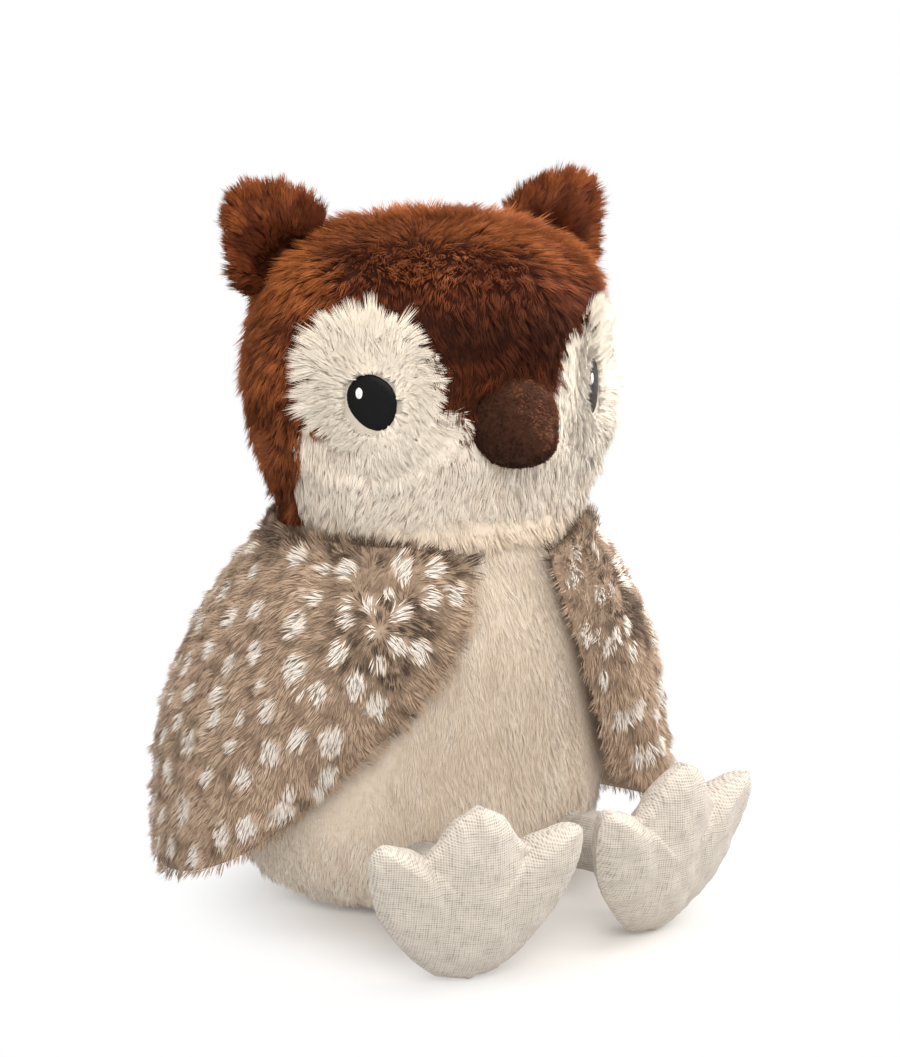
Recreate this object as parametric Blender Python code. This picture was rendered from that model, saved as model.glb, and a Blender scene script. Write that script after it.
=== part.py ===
"""Seated plush owl: sewn panels, stuffing, flap wings, linen feet and soft ears.

Metres, +Z up. The owl faces -Y and its own left is +X. The floor is z = 0, under the base panel.
Every panel is as thick as its backing cloth and pile together, so its outer face is where the pile ends.
"""
import math

import bpy
import bmesh
from mathutils import Matrix, Vector

MM = 0.001
SEAM_GAP = 0.3 * MM

# Neck: the head turns and nods about one centre, on concentric balls
NECK_CENTRE_Y = -8.0 * MM
NECK_CENTRE_Z = 120.0 * MM
NECK_BALL_RADIUS = 60.5 * MM
NECK_WAD_THICKNESS = 6.2 * MM
NECK_RUN = 1.0 * MM
NECK_OPENING_ANGLE = math.radians(56.0)
BALL_ZONE_ANGLE = math.radians(76.0)
HEAD_TURN_AT_REST = math.radians(-4.8)

# Torso
TORSO_HALF_WIDTH = 79.0 * MM
TORSO_BASE_RADIUS = 50.0 * MM
TORSO_PANEL = 6.0 * MM
TORSO_LEAN = 16.0 * MM
PELLET_BAG_DEPTH = 18.0 * MM
TORSO_SEGMENTS = 28
# height share of the ball zone's edge, width share between the base or the ball edge and the widest ring
TORSO_LOWER_SHARES = ((0.0, 0.0), (0.022, 0.24), (0.06, 0.46), (0.112, 0.64), (0.186, 0.82), (0.28, 0.95))
TORSO_UPPER_SHARES = ((0.387, 1.0), (0.49, 0.975), (0.595, 0.875), (0.70, 0.70), (0.80, 0.48), (0.90, 0.23))
BALL_RING_ANGLES = tuple(math.radians(a) for a in (76.0, 66.5, 57.0))
WIDEST_SHARE = 0.387
DEPTH_RATIO_SHARE = 0.93

# Head
HEAD_HALF_WIDTH = 73.5 * MM
HEAD_HEIGHT = 116.0 * MM
HEAD_PANEL = 9.0 * MM
HEAD_FORWARD = 1.5 * MM
HEAD_FRONT_FLAT_SHARE = 0.10
HEAD_SEGMENTS = 28
NECK_RIM_ANGLE = math.radians(63.5)
NECK_INNER_RIM_ANGLE = math.radians(53.0)
# height share above the neck rim, radius share between the rim and the widest ring, or of the widest ring
HEAD_RISE_SHARES = ((0.085, 0.27), (0.19, 0.54), (0.31, 0.82), (0.44, 1.0))
HEAD_CROWN_SHARES = ((0.56, 0.985), (0.68, 0.945), (0.785, 0.875), (0.875, 0.75), (0.945, 0.555), (0.985, 0.30))
SIDE_SEAM_Y = 2.0 * MM
SIDE_SEAM_TILT = math.radians(8.0)

# Face
DISC_AZIMUTH = math.radians(48.5)
DISC_TILT = math.radians(3.0)
DISC_HALF_WIDTH = 35.0 * MM
DISC_HALF_HEIGHT = 33.0 * MM
DISC_HEIGHT = 203.0 * MM
CHIN_TOP = 188.0 * MM
CHIN_BACK = 9.0 * MM
EYE_HALF_WIDTH = 9.2 * MM
EYE_HALF_HEIGHT = 10.2 * MM
EYE_HEIGHT = 200.0 * MM
EYE_SINK = 6.5 * MM
EYE_AZIMUTH = math.radians(46.0)
EYE_CROWN = 1.2 * MM
HIGHLIGHT_HALF_WIDTH = 1.9 * MM
HIGHLIGHT_HALF_HEIGHT = 2.9 * MM
HIGHLIGHT_THICKNESS = 0.6 * MM
HIGHLIGHT_OUT = 3.6 * MM
HIGHLIGHT_UP = 3.6 * MM

# Beak
BEAK_HEIGHT = 201.0 * MM
BEAK_DROOP = math.radians(8.0)
BEAK_LENGTH = 24.0 * MM
BEAK_RADIUS = 16.5 * MM
BEAK_CLOTH = 2.0 * MM
BEAK_SEGMENTS = 16
BEAK_SHARES = ((0.0, 1.0), (0.20, 1.0), (0.42, 0.93), (0.64, 0.79), (0.82, 0.58), (0.94, 0.34), (1.0, 0.0))

# Ears
EAR_FOOT_X = 56.0 * MM
EAR_FOOT_Z = 129.7 * MM
EAR_Y = 2.0 * MM
EAR_SLOPE = math.radians(40.0)
EAR_HALF_LENGTH = 20.0 * MM
EAR_RISE = 26.0 * MM
EAR_HALF_THICKNESS = 5.0 * MM
EAR_RUN = 0.6 * MM
# along the ear's foot and up from it, over the top; the foot follows the head
EAR_TOP_SHARES = (
    (1.0, 0.05), (0.82, 0.26), (0.60, 0.50), (0.235, 0.865), (-0.105, 1.0), (-0.395, 0.965),
    (-0.655, 0.846), (-0.82, 0.638), (-0.965, 0.292), (-1.02, 0.04))
EAR_FOOT_SHARES = (-0.90, -0.62, -0.31, 0.0, 0.31, 0.62, 0.90)

# Wings
WING_PANEL = 4.6 * MM
WING_LINING = 2.8 * MM
WING_CLEARANCE = 1.6 * MM
WING_TOP_SIDE_ANGLE = math.radians(68.0)
WING_TOP_FRONT_ANGLE = math.radians(72.8)
WING_FRONT_AZIMUTH = math.radians(75.0)
WING_REAR_AZIMUTH = math.radians(-52.0)
WING_LOW_FRONT_AZIMUTH = math.radians(42.5)
# the wings hang unevenly: both are sewn a little round to the right, and the left one swings further forward
WING_FRONT_UNEVEN = math.radians(3.0)
WING_LOW_FRONT_UNEVEN = math.radians(9.5)
WING_SPREAD_UNEVEN = 1.7 * MM
WING_SEAT = 0.8 * MM
WING_LOW_REAR_AZIMUTH = math.radians(-28.0)
WING_TIP_HEIGHT = 13.0 * MM
WING_SPREAD = 105.3 * MM
WING_COLUMNS = 9
WING_ROWS = 9
WING_EDGE_SHARE = 0.55
WING_FOLD_HEIGHT = 138.0 * MM
WING_FOLD_SLOPE = math.radians(50.0)
# height of the hem above the tip, as shares of the wing's drop, from the front corner to the rear
WING_HEM_SHARES = (0.27, 0.15, 0.07, 0.02, 0.0, 0.07)
# how far the wing has left the torso for its full spread, from its top down to the tip
WING_SPREAD_SHARES = (0.0, 0.23, 0.41, 0.56, 0.70, 0.83, 0.93, 1.0, 1.0)

# Legs
HIP_X = 31.0 * MM
HIP_Z = 24.0 * MM
HIP_INSET = 2.0 * MM
HIP_RADIUS = 14.5 * MM
HIP_RUN = 1.1 * MM
ANKLE_RADIUS = 10.5 * MM
ANKLE_RUN = 0.5 * MM
LEG_CLOTH = 1.2 * MM
HIP_OPEN_ANGLE = 32.0
HIP_WAIST_ANGLE = 137.0
ANKLE_WAIST_ANGLE = 84.0
LEG_SEGMENTS = 14

# Feet: upright on their heels, soles to the front
FOOT_X = 41.8 * MM
FOOT_Y = -99.8 * MM
FOOT_WIDTH = 78.0 * MM
FOOT_HEIGHT = 71.0 * MM
FOOT_TOE_OUT = math.radians(14.0)
# the loose legs have settled unevenly: the owl's left foot lies further in, back and round
FOOT_X_UNEVEN = -1.2 * MM
FOOT_Y_UNEVEN = 1.2 * MM
FOOT_TURN_UNEVEN = math.radians(2.8)
FOOT_LEAN = math.radians(13.0)
FOOT_FRONT_BULGE = 10.0 * MM
FOOT_BACK_BULGE = 14.0 * MM
FOOT_CLOTH = 1.5 * MM
FOOT_FLAT = 0.5 * MM
ANKLE_HEIGHT_SHARE = 0.33
# half outline from the heel to the centre toe: across from the middle, and up from the heel
FOOT_OUTLINE_SHARES = (
    (0.0, 0.0), (0.15, 0.04), (0.265, 0.15), (0.375, 0.30), (0.455, 0.445), (0.50, 0.58), (0.50, 0.71),
    (0.465, 0.80), (0.40, 0.825), (0.32, 0.80), (0.245, 0.745), (0.185, 0.81), (0.11, 0.935), (0.0, 1.0))
FOOT_MIDDLE_SHARE = 0.46

# Rings of a pillow from its seam to its middle, and how full it is at each
PILLOW_RING_SHARES = ((1.0, 0.0), (0.89, 0.58), (0.60, 0.92), (0.0, 1.0))
CUT_OVERRUN = 60.0 * MM

NECK_CENTRE = Vector((0.0, NECK_CENTRE_Y, NECK_CENTRE_Z))
SOCKET_RADIUS = NECK_BALL_RADIUS + NECK_RUN + NECK_RUN
BALL_EDGE_HEIGHT = NECK_CENTRE_Z + NECK_BALL_RADIUS * math.cos(BALL_ZONE_ANGLE)
BALL_EDGE_RADIUS = NECK_BALL_RADIUS * math.sin(BALL_ZONE_ANGLE)


def clear_scene():
    for item in list(bpy.data.objects):
        bpy.data.objects.remove(item, do_unlink=True)


def make_material(name, colour, roughness):
    material = bpy.data.materials.new(name)
    material.use_nodes = True
    shader = material.node_tree.nodes["Principled BSDF"]
    shader.inputs["Base Color"].default_value = (*colour, 1.0)
    shader.inputs["Roughness"].default_value = roughness
    shader.inputs["Metallic"].default_value = 0.0
    return material


def mix(low, high, share):
    return low + (high - low) * share


def smooth(share):
    held = min(max(share, 0.0), 1.0)
    return held * held * (3.0 - 2.0 * held)


def along(table, place):
    """Value of an evenly spaced table at a place from 0 to 1, by straight lines."""
    step = place * (len(table) - 1)
    low = min(int(step), len(table) - 2)
    return mix(table[low], table[low + 1], step - low)


def make_pivot(name, place, parent=None, turn=0.0):
    pivot = bpy.data.objects.new(name, None)
    bpy.context.scene.collection.objects.link(pivot)
    pivot.location = place
    pivot.rotation_euler = (0.0, 0.0, turn)
    pivot.parent = parent
    return pivot


def make_object(name, points, faces, pivot, origin, material=None):
    """One closed mesh, given in straight world places, hung on the empty at origin."""
    mesh = bpy.data.meshes.new(name)
    mesh.from_pydata([Vector(p) - origin for p in points], [], faces)
    shape = bmesh.new()
    shape.from_mesh(mesh)
    bmesh.ops.remove_doubles(shape, verts=shape.verts, dist=SEAM_GAP * 0.05)
    bmesh.ops.recalc_face_normals(shape, faces=shape.faces)
    shape.to_mesh(mesh)
    shape.free()
    mesh.shade_smooth()
    item = bpy.data.objects.new(name, mesh)
    bpy.context.scene.collection.objects.link(item)
    item.parent = pivot
    if material is None:
        item.hide_render = True
        item.display_type = "WIRE"
    else:
        mesh.materials.append(material)
    return item


def boolean(item, cutter, operation):
    step = item.modifiers.new(operation.lower() + "_" + cutter.name, "BOOLEAN")
    step.operation = operation
    step.solver = "EXACT"
    step.object = cutter


def ring_faces(first, second, count):
    """Quads between two closed rings of the same count."""
    return [(first + i, first + (i + 1) % count, second + (i + 1) % count, second + i) for i in range(count)]


def turned(profile, segments, warp, closed=False):
    """Revolve a profile of (radius, height). A zero radius is one point, and a closed profile is a ring."""
    points = []
    faces = []
    starts = []
    for radius, height in profile:
        starts.append(len(points))
        if radius == 0.0:
            points.append(warp(0.0, 0.0, height))
            continue
        for i in range(segments):
            angle = 2.0 * math.pi * i / segments
            points.append(warp(radius * math.cos(angle), radius * math.sin(angle), height))
    pairs = list(zip(range(len(profile) - 1), range(1, len(profile))))
    if closed:
        pairs.append((len(profile) - 1, 0))
    for a, b in pairs:
        if profile[a][0] == 0.0 and profile[b][0] == 0.0:
            continue
        if profile[a][0] == 0.0:
            faces += [(starts[a], starts[b] + (i + 1) % segments, starts[b] + i) for i in range(segments)]
        elif profile[b][0] == 0.0:
            faces += [(starts[b], starts[a] + i, starts[a] + (i + 1) % segments) for i in range(segments)]
        else:
            faces += ring_faces(starts[a], starts[b], segments)
    return points, faces


def inset_profile(profile, depth):
    """Move an open profile inward, square to itself."""
    result = []
    for i, (radius, height) in enumerate(profile):
        before = profile[max(i - 1, 0)]
        after = profile[min(i + 1, len(profile) - 1)]
        run = after[0] - before[0]
        rise = after[1] - before[1]
        length = math.hypot(run, rise)
        result.append((max(radius - depth * rise / length, 0.0), height + depth * run / length))
    return result


def make_box(name, low, high, pivot, origin, turn=0.0, about=Vector(), axis="X"):
    """A cutter: a box between two corners, tilted about an axis through a point."""
    spin = Matrix.Rotation(turn, 4, axis)
    corners = []
    for x in (low[0], high[0]):
        for y in (low[1], high[1]):
            for z in (low[2], high[2]):
                corners.append(about + spin @ (Vector((x, y, z)) - about))
    faces = [(0, 1, 3, 2), (4, 6, 7, 5), (0, 4, 5, 1), (2, 3, 7, 6), (0, 2, 6, 4), (1, 5, 7, 3)]
    return make_object(name, corners, faces, pivot, origin)


def make_ball(name, centre, radius, segments, pivot, origin):
    """A cutter: a ball."""
    rings = segments // 2
    profile = [(radius * math.sin(math.pi * i / rings), radius * math.cos(math.pi * i / rings))
               for i in range(rings + 1)]
    profile[0] = (0.0, radius)
    profile[-1] = (0.0, -radius)
    points, faces = turned(profile, segments, lambda x, y, z: centre + Vector((x, y, z)))
    return make_object(name, points, faces, pivot, origin)


def make_prism(name, frame, half_width, half_height, near, far, segments, pivot, origin, material=None, crown=0.0):
    """An oval prism along the frame's third axis, with an optional domed far end."""
    profile = [(0.0, near), (1.0, near), (1.0, far - crown), (0.6, far - 0.3 * crown), (0.0, far)]
    if crown == 0.0:
        profile.pop(3)
    points, faces = turned(
        profile, segments, lambda x, y, z: frame @ Vector((x * half_width, y * half_height, z)))
    return make_object(name, points, faces, pivot, origin, material)


def make_pillow_half(name, outline, middle, height, wall, side, frame, pivot, origin, material):
    """Half of a two-panel pillow: a crowned shell with a wall, or a solid half where the wall is None."""
    count = len(outline)
    points = []
    faces = []

    def add_surface(inset, floor_gap, drop):
        first = len(points)
        for reach, fullness in PILLOW_RING_SHARES:
            rise = floor_gap + max(height * fullness - drop, 0.0)
            if reach == 0.0:
                points.append(frame @ Vector((middle[0], middle[1], side * rise)))
                continue
            for across, up in outline:
                spoke = Vector((across - middle[0], up - middle[1]))
                shorter = spoke * (1.0 - inset / spoke.length) * reach
                points.append(frame @ Vector((middle[0] + shorter.x, middle[1] + shorter.y, side * rise)))
        rings = len(PILLOW_RING_SHARES) - 1
        for ring in range(rings - 1):
            faces.extend(ring_faces(first + ring * count, first + (ring + 1) * count, count))
        last = first + (rings - 1) * count
        centre = first + rings * count
        faces.extend((last + i, last + (i + 1) % count, centre) for i in range(count))
        return first

    half_gap = SEAM_GAP / 2.0
    outer = add_surface(0.0, half_gap + (wall or 0.0) * 0.4, 0.0)
    if wall is None:
        rim = len(points)
        for across, up in outline:
            points.append(frame @ Vector((across, up, side * half_gap)))
        faces.append(tuple(range(rim, rim + count)))
        faces.extend(ring_faces(outer, rim, count))
    else:
        inner = add_surface(wall * 1.2, half_gap, wall)
        faces.extend(ring_faces(outer, inner, count))
    return make_object(name, points, faces, pivot, origin, material)


# Torso shape


def torso_profile():
    """Outer profile from the base's edge up to the neck opening."""
    profile = []
    for height_share, width_share in TORSO_LOWER_SHARES:
        radius = mix(TORSO_BASE_RADIUS, TORSO_HALF_WIDTH, width_share)
        profile.append((radius, BALL_EDGE_HEIGHT * height_share))
    for height_share, width_share in TORSO_UPPER_SHARES:
        radius = mix(BALL_EDGE_RADIUS, TORSO_HALF_WIDTH, width_share)
        profile.append((radius, BALL_EDGE_HEIGHT * height_share))
    for angle in BALL_RING_ANGLES:
        profile.append((NECK_BALL_RADIUS * math.sin(angle), NECK_CENTRE_Z + NECK_BALL_RADIUS * math.cos(angle)))
    return profile


def torso_radius(height):
    """Outer radius of the torso at a height, by straight lines between its rings."""
    profile = torso_profile()
    if height >= BALL_EDGE_HEIGHT:
        rise = min(height - NECK_CENTRE_Z, NECK_BALL_RADIUS)
        return math.sqrt(NECK_BALL_RADIUS ** 2 - rise ** 2)
    for (r_low, z_low), (r_high, z_high) in zip(profile, profile[1:]):
        if z_low <= height <= z_high:
            return mix(r_low, r_high, (height - z_low) / (z_high - z_low))
    return profile[0][0]


def torso_shift(height):
    """How far back the torso's middle is: it leans forward up to the neck ball."""
    share = smooth((BALL_EDGE_HEIGHT - height) / (BALL_EDGE_HEIGHT * 0.62))
    return NECK_CENTRE_Y + TORSO_LEAN * share


def torso_depth_ratio(height):
    return mix(1.0, DEPTH_RATIO_SHARE, smooth((BALL_EDGE_HEIGHT - height) / (BALL_EDGE_HEIGHT * 0.5)))


def torso_warp(x, y, z):
    return Vector((x, y * torso_depth_ratio(z) + torso_shift(z), z))


def make_torso(materials, root):
    origin = Vector()
    outer = torso_profile()
    inner = inset_profile(outer, TORSO_PANEL)
    inner[0] = (TORSO_BASE_RADIUS, TORSO_PANEL)
    inner = [inner[0]] + [p for p in inner[1:] if p[1] > TORSO_PANEL * 1.3]
    inner[-1] = ((NECK_BALL_RADIUS - TORSO_PANEL) * math.sin(BALL_RING_ANGLES[-1]),
                 NECK_CENTRE_Z + (NECK_BALL_RADIUS - TORSO_PANEL) * math.cos(BALL_RING_ANGLES[-1]))
    points, faces = turned(outer + inner[::-1], TORSO_SEGMENTS, torso_warp, closed=True)

    reach = TORSO_HALF_WIDTH + CUT_OVERRUN
    half = SEAM_GAP / 2.0
    seam_y = NECK_CENTRE_Y + TORSO_LEAN * 0.5
    top = NECK_CENTRE_Z + NECK_BALL_RADIUS + CUT_OVERRUN
    front_box = make_box("front_half_cutter", (-reach, -reach, -CUT_OVERRUN), (reach, seam_y - half, top), root, origin)
    left_box = make_box("left_back_cutter", (half, seam_y + half, -CUT_OVERRUN), (reach, reach, top), root, origin)
    right_box = make_box("right_back_cutter", (-reach, seam_y + half, -CUT_OVERRUN), (-half, reach, top), root, origin)
    pockets = []
    for side, word in ((1.0, "left"), (-1.0, "right")):
        pockets.append(make_ball("hip_pocket_" + word, hip_place(side), HIP_RADIUS + HIP_RUN, LEG_SEGMENTS + 2,
                                 root, origin))
    for name, cutter in (("torso_front", front_box), ("torso_back_left", left_box), ("torso_back_right", right_box)):
        panel = make_object(name, points, faces, root, origin, materials["cream_plush"])
        boolean(panel, cutter, "INTERSECT")
        if name == "torso_front":
            for pocket in pockets:
                boolean(panel, pocket, "DIFFERENCE")

    base_edge = TORSO_BASE_RADIUS - SEAM_GAP
    base = [(0.0, 0.0), (base_edge, 0.0), (base_edge, TORSO_PANEL), (0.0, TORSO_PANEL)]
    points, faces = turned(base, TORSO_SEGMENTS, torso_warp)
    make_object("torso_base", points, faces, root, origin, materials["cream_plush"])

    core = inset_profile(outer, TORSO_PANEL + SEAM_GAP * 2.0)
    bag_low = TORSO_PANEL + SEAM_GAP
    bag_high = bag_low + PELLET_BAG_DEPTH
    core_low = [p for p in core if bag_low * 1.3 < p[1] < bag_high * 0.97]
    core_high = [p for p in core if p[1] > bag_high * 1.05][:-1]
    ball = NECK_BALL_RADIUS - TORSO_PANEL - SEAM_GAP * 2.0
    bag = [(0.0, bag_low), (TORSO_BASE_RADIUS - TORSO_PANEL, bag_low)] + core_low
    bag += [(core_low[-1][0], bag_high), (0.0, bag_high)]
    points, faces = turned(bag, TORSO_SEGMENTS // 2, torso_warp)
    bag_item = make_object("pellet_bag", points, faces, root, origin, materials["bag_cotton"])
    start = bag_high + SEAM_GAP
    stuffing = [(0.0, start), (core_low[-1][0], start)] + core_high
    for degrees in (57.0, 38.0, 19.0):
        angle = math.radians(degrees)
        stuffing.append((ball * math.sin(angle), NECK_CENTRE_Z + ball * math.cos(angle)))
    stuffing.append((0.0, NECK_CENTRE_Z + ball))
    points, faces = turned(stuffing, TORSO_SEGMENTS // 2, torso_warp)
    stuffing_item = make_object("torso_stuffing", points, faces, root, origin, materials["stuffing"])
    for pocket in pockets:
        boolean(bag_item, pocket, "DIFFERENCE")
        boolean(stuffing_item, pocket, "DIFFERENCE")


def make_neck(materials, head_pivot):
    """A wad of stuffing in the neck opening: a thick cap between the torso's ball and the head's socket."""
    low = NECK_BALL_RADIUS + NECK_RUN - NECK_WAD_THICKNESS
    high = NECK_BALL_RADIUS + NECK_RUN
    steps = 4
    profile = [(0.0, low)]
    for i in range(1, steps + 1):
        angle = NECK_OPENING_ANGLE * i / steps
        profile.append((low * math.sin(angle), low * math.cos(angle)))
    for i in range(steps, 0, -1):
        angle = NECK_OPENING_ANGLE * i / steps
        profile.append((high * math.sin(angle), high * math.cos(angle)))
    profile.append((0.0, high))
    points, faces = turned(profile, HEAD_SEGMENTS, lambda x, y, z: NECK_CENTRE + Vector((x, y, z)))
    make_object("neck_wad", points, faces, head_pivot, NECK_CENTRE, materials["stuffing"])


# Head shape


def head_profile():
    """Outer profile from the neck rim to the crown, heights from the neck centre."""
    rim_radius = SOCKET_RADIUS * math.sin(NECK_RIM_ANGLE)
    rim_height = SOCKET_RADIUS * math.cos(NECK_RIM_ANGLE)
    profile = [(rim_radius, rim_height)]
    for height_share, width_share in HEAD_RISE_SHARES:
        profile.append((mix(rim_radius, HEAD_HALF_WIDTH, width_share), rim_height + HEAD_HEIGHT * height_share))
    for height_share, width_share in HEAD_CROWN_SHARES:
        profile.append((HEAD_HALF_WIDTH * width_share, rim_height + HEAD_HEIGHT * height_share))
    profile.append((0.0, rim_height + HEAD_HEIGHT))
    return profile


def head_radius(height):
    profile = head_profile()
    for (r_low, z_low), (r_high, z_high) in zip(profile, profile[1:]):
        if z_low <= height <= z_high:
            return mix(r_low, r_high, (height - z_low) / (z_high - z_low))
    return 0.0


def head_warp(x, y, z):
    """Set the head forward and flatten its face, but leave the neck socket a true ball."""
    point = Vector((x, y, z))
    share = smooth((point.length - SOCKET_RADIUS) / (HEAD_HALF_WIDTH * 0.1))
    radius = math.hypot(x, y)
    if radius == 0.0:
        return NECK_CENTRE + point
    facing = smooth((-y / radius - 0.6) / 0.4) * smooth((HEAD_HEIGHT - z) / (HEAD_HEIGHT * 0.4))
    flat = 1.0 - HEAD_FRONT_FLAT_SHARE * facing * share
    return NECK_CENTRE + Vector((x * flat, y * flat - HEAD_FORWARD * share, z))


def facing_frame(azimuth, height, tilt, side):
    """A frame on the head's middle line whose third axis points out of the face at an azimuth from the front."""
    outward = Vector((side * math.sin(azimuth) * math.cos(tilt), -math.cos(azimuth) * math.cos(tilt), math.sin(tilt)))
    across = Vector((0.0, 0.0, 1.0)).cross(outward).normalized()
    upward = outward.cross(across)
    frame = Matrix((across, upward, outward)).transposed().to_4x4()
    frame.translation = Vector((0.0, NECK_CENTRE_Y - HEAD_FORWARD, height))
    return frame


def make_head(materials, pivot):
    outer = head_profile()
    inner = inset_profile(outer, HEAD_PANEL)
    inner[0] = (SOCKET_RADIUS * math.sin(NECK_INNER_RIM_ANGLE), SOCKET_RADIUS * math.cos(NECK_INNER_RIM_ANGLE))
    inner[-1] = (0.0, outer[-1][1] - HEAD_PANEL)
    points, faces = turned(outer + inner[::-1], HEAD_SEGMENTS, head_warp)
    # the rim between the two surfaces closes the shell at the neck
    count = HEAD_SEGMENTS
    faces += ring_faces(0, len(points) - count, count)

    reach = HEAD_HALF_WIDTH + CUT_OVERRUN
    half = SEAM_GAP / 2.0
    low = NECK_CENTRE_Z - CUT_OVERRUN
    top = NECK_CENTRE_Z + HEAD_HEIGHT + CUT_OVERRUN
    seam = Vector((0.0, SIDE_SEAM_Y, NECK_CENTRE_Z + HEAD_HEIGHT))
    args = (pivot, NECK_CENTRE, SIDE_SEAM_TILT, seam)
    front = make_box("head_front_cutter", (-reach, SIDE_SEAM_Y - reach, low), (reach, SIDE_SEAM_Y - half, top), *args)
    left = make_box("head_left_cutter", (half, SIDE_SEAM_Y + half, low), (reach, SIDE_SEAM_Y + reach, top), *args)
    right = make_box("head_right_cutter", (-reach, SIDE_SEAM_Y + half, low), (-half, SIDE_SEAM_Y + reach, top), *args)

    chin_back_y = NECK_CENTRE_Y - CHIN_BACK
    chin = make_box("chin_cutter", (-reach, -reach, low), (reach, chin_back_y, CHIN_TOP), pivot, NECK_CENTRE)
    chin_room = make_box("chin_room_cutter", (-reach, -reach, low), (reach, chin_back_y + SEAM_GAP, CHIN_TOP + SEAM_GAP),
                         pivot, NECK_CENTRE)

    core_radius = head_radius(EYE_HEIGHT - NECK_CENTRE_Z) - HEAD_PANEL
    discs = []
    disc_rooms = []
    eye_rooms = []
    for side, word in ((1.0, "left"), (-1.0, "right")):
        frame = facing_frame(DISC_AZIMUTH, DISC_HEIGHT, DISC_TILT, side)
        discs.append(make_prism("disc_cutter_" + word, frame, DISC_HALF_WIDTH, DISC_HALF_HEIGHT,
                                HIP_RADIUS, reach, 20, pivot, NECK_CENTRE))
        disc_rooms.append(make_prism("disc_room_cutter_" + word, frame, DISC_HALF_WIDTH + SEAM_GAP,
                                     DISC_HALF_HEIGHT + SEAM_GAP, HIP_RADIUS, reach, 20, pivot, NECK_CENTRE))
        eye_frame = facing_frame(EYE_AZIMUTH, EYE_HEIGHT, 0.0, side)
        eye_rooms.append(make_prism("eye_room_cutter_" + word, eye_frame, EYE_HALF_WIDTH + SEAM_GAP,
                                    EYE_HALF_HEIGHT + SEAM_GAP, HIP_RADIUS, reach, 16, pivot, NECK_CENTRE))
        face = core_radius + HEAD_PANEL - EYE_SINK
        make_prism("eye_" + word, eye_frame, EYE_HALF_WIDTH, EYE_HALF_HEIGHT, core_radius + SEAM_GAP, face, 16,
                   pivot, NECK_CENTRE, materials["eye_thread"], EYE_CROWN)
        mark = Matrix.Translation(Vector((-side * HIGHLIGHT_OUT * side, HIGHLIGHT_UP, 0.0)))
        make_prism("eye_highlight_" + word, eye_frame @ mark, HIGHLIGHT_HALF_WIDTH, HIGHLIGHT_HALF_HEIGHT,
                   face + SEAM_GAP, face + SEAM_GAP + HIGHLIGHT_THICKNESS, 10, pivot, NECK_CENTRE,
                   materials["highlight_thread"])

    beak_frame = facing_frame(0.0, BEAK_HEIGHT, -BEAK_DROOP, 1.0)
    beak_base = core_radius * (1.0 - HEAD_FRONT_FLAT_SHARE) + SEAM_GAP * 2.0
    beak_room = make_prism("beak_room_cutter", beak_frame, BEAK_RADIUS + SEAM_GAP, BEAK_RADIUS + SEAM_GAP,
                           HIP_RADIUS, reach, BEAK_SEGMENTS, pivot, NECK_CENTRE)

    crown = make_object("crown_front", points, faces, pivot, NECK_CENTRE, materials["brown_plush"])
    boolean(crown, front, "INTERSECT")
    for cutter in disc_rooms + [chin_room, beak_room]:
        boolean(crown, cutter, "DIFFERENCE")
    for name, cutter in (("head_back_left", left), ("head_back_right", right)):
        panel = make_object(name, points, faces, pivot, NECK_CENTRE, materials["brown_plush"])
        boolean(panel, cutter, "INTERSECT")
    chin_panel = make_object("chin_panel", points, faces, pivot, NECK_CENTRE, materials["cream_plush"])
    boolean(chin_panel, chin, "INTERSECT")
    for cutter in disc_rooms + [beak_room]:
        boolean(chin_panel, cutter, "DIFFERENCE")
    for word, disc, eye_room in zip(("left", "right"), discs, eye_rooms):
        panel = make_object("face_disc_" + word, points, faces, pivot, NECK_CENTRE, materials["long_plush"])
        boolean(panel, disc, "INTERSECT")
        boolean(panel, eye_room, "DIFFERENCE")
        boolean(panel, beak_room, "DIFFERENCE")

    core = inset_profile(outer, HEAD_PANEL + SEAM_GAP * 3.0)
    ball = SOCKET_RADIUS
    edge = NECK_INNER_RIM_ANGLE - SEAM_GAP * 2.0 / ball
    steps = 5
    socket = [(0.0, ball)]
    for i in range(1, steps + 1):
        socket.append((ball * math.sin(edge * i / steps), ball * math.cos(edge * i / steps)))
    shape = socket + core[1:-1] + [(0.0, outer[-1][1] - HEAD_PANEL - SEAM_GAP * 2.0)]
    points, faces = turned(shape, HEAD_SEGMENTS, head_warp)
    make_object("head_stuffing", points, faces, pivot, NECK_CENTRE, materials["stuffing"])

    make_beak(materials, pivot, beak_frame, beak_base)


def make_beak(materials, pivot, frame, base):
    cover = [(BEAK_RADIUS * width, base + BEAK_LENGTH * run) for run, width in BEAK_SHARES]
    inner = [(BEAK_RADIUS * width - BEAK_CLOTH, base + BEAK_LENGTH * run) for run, width in BEAK_SHARES[:-2]]
    inner.append((0.0, base + BEAK_LENGTH - BEAK_CLOTH * 1.6))
    points, faces = turned(cover + inner[::-1], BEAK_SEGMENTS, lambda x, y, z: frame @ Vector((x, y, z)))
    faces += ring_faces(0, len(points) - BEAK_SEGMENTS, BEAK_SEGMENTS)
    make_object("beak_cover", points, faces, pivot, NECK_CENTRE, materials["beak_velour"])
    fill = [(radius - SEAM_GAP, height) for radius, height in inner[:-1]]
    fill = [(0.0, base)] + fill + [(0.0, inner[-1][1] - SEAM_GAP * 2.0)]
    points, faces = turned(fill, BEAK_SEGMENTS, lambda x, y, z: frame @ Vector((x, y, z)))
    make_object("beak_stuffing", points, faces, pivot, NECK_CENTRE, materials["stuffing"])


def ear_place(side):
    return Vector((side * EAR_FOOT_X, EAR_Y, NECK_CENTRE_Z + EAR_FOOT_Z))


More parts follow.
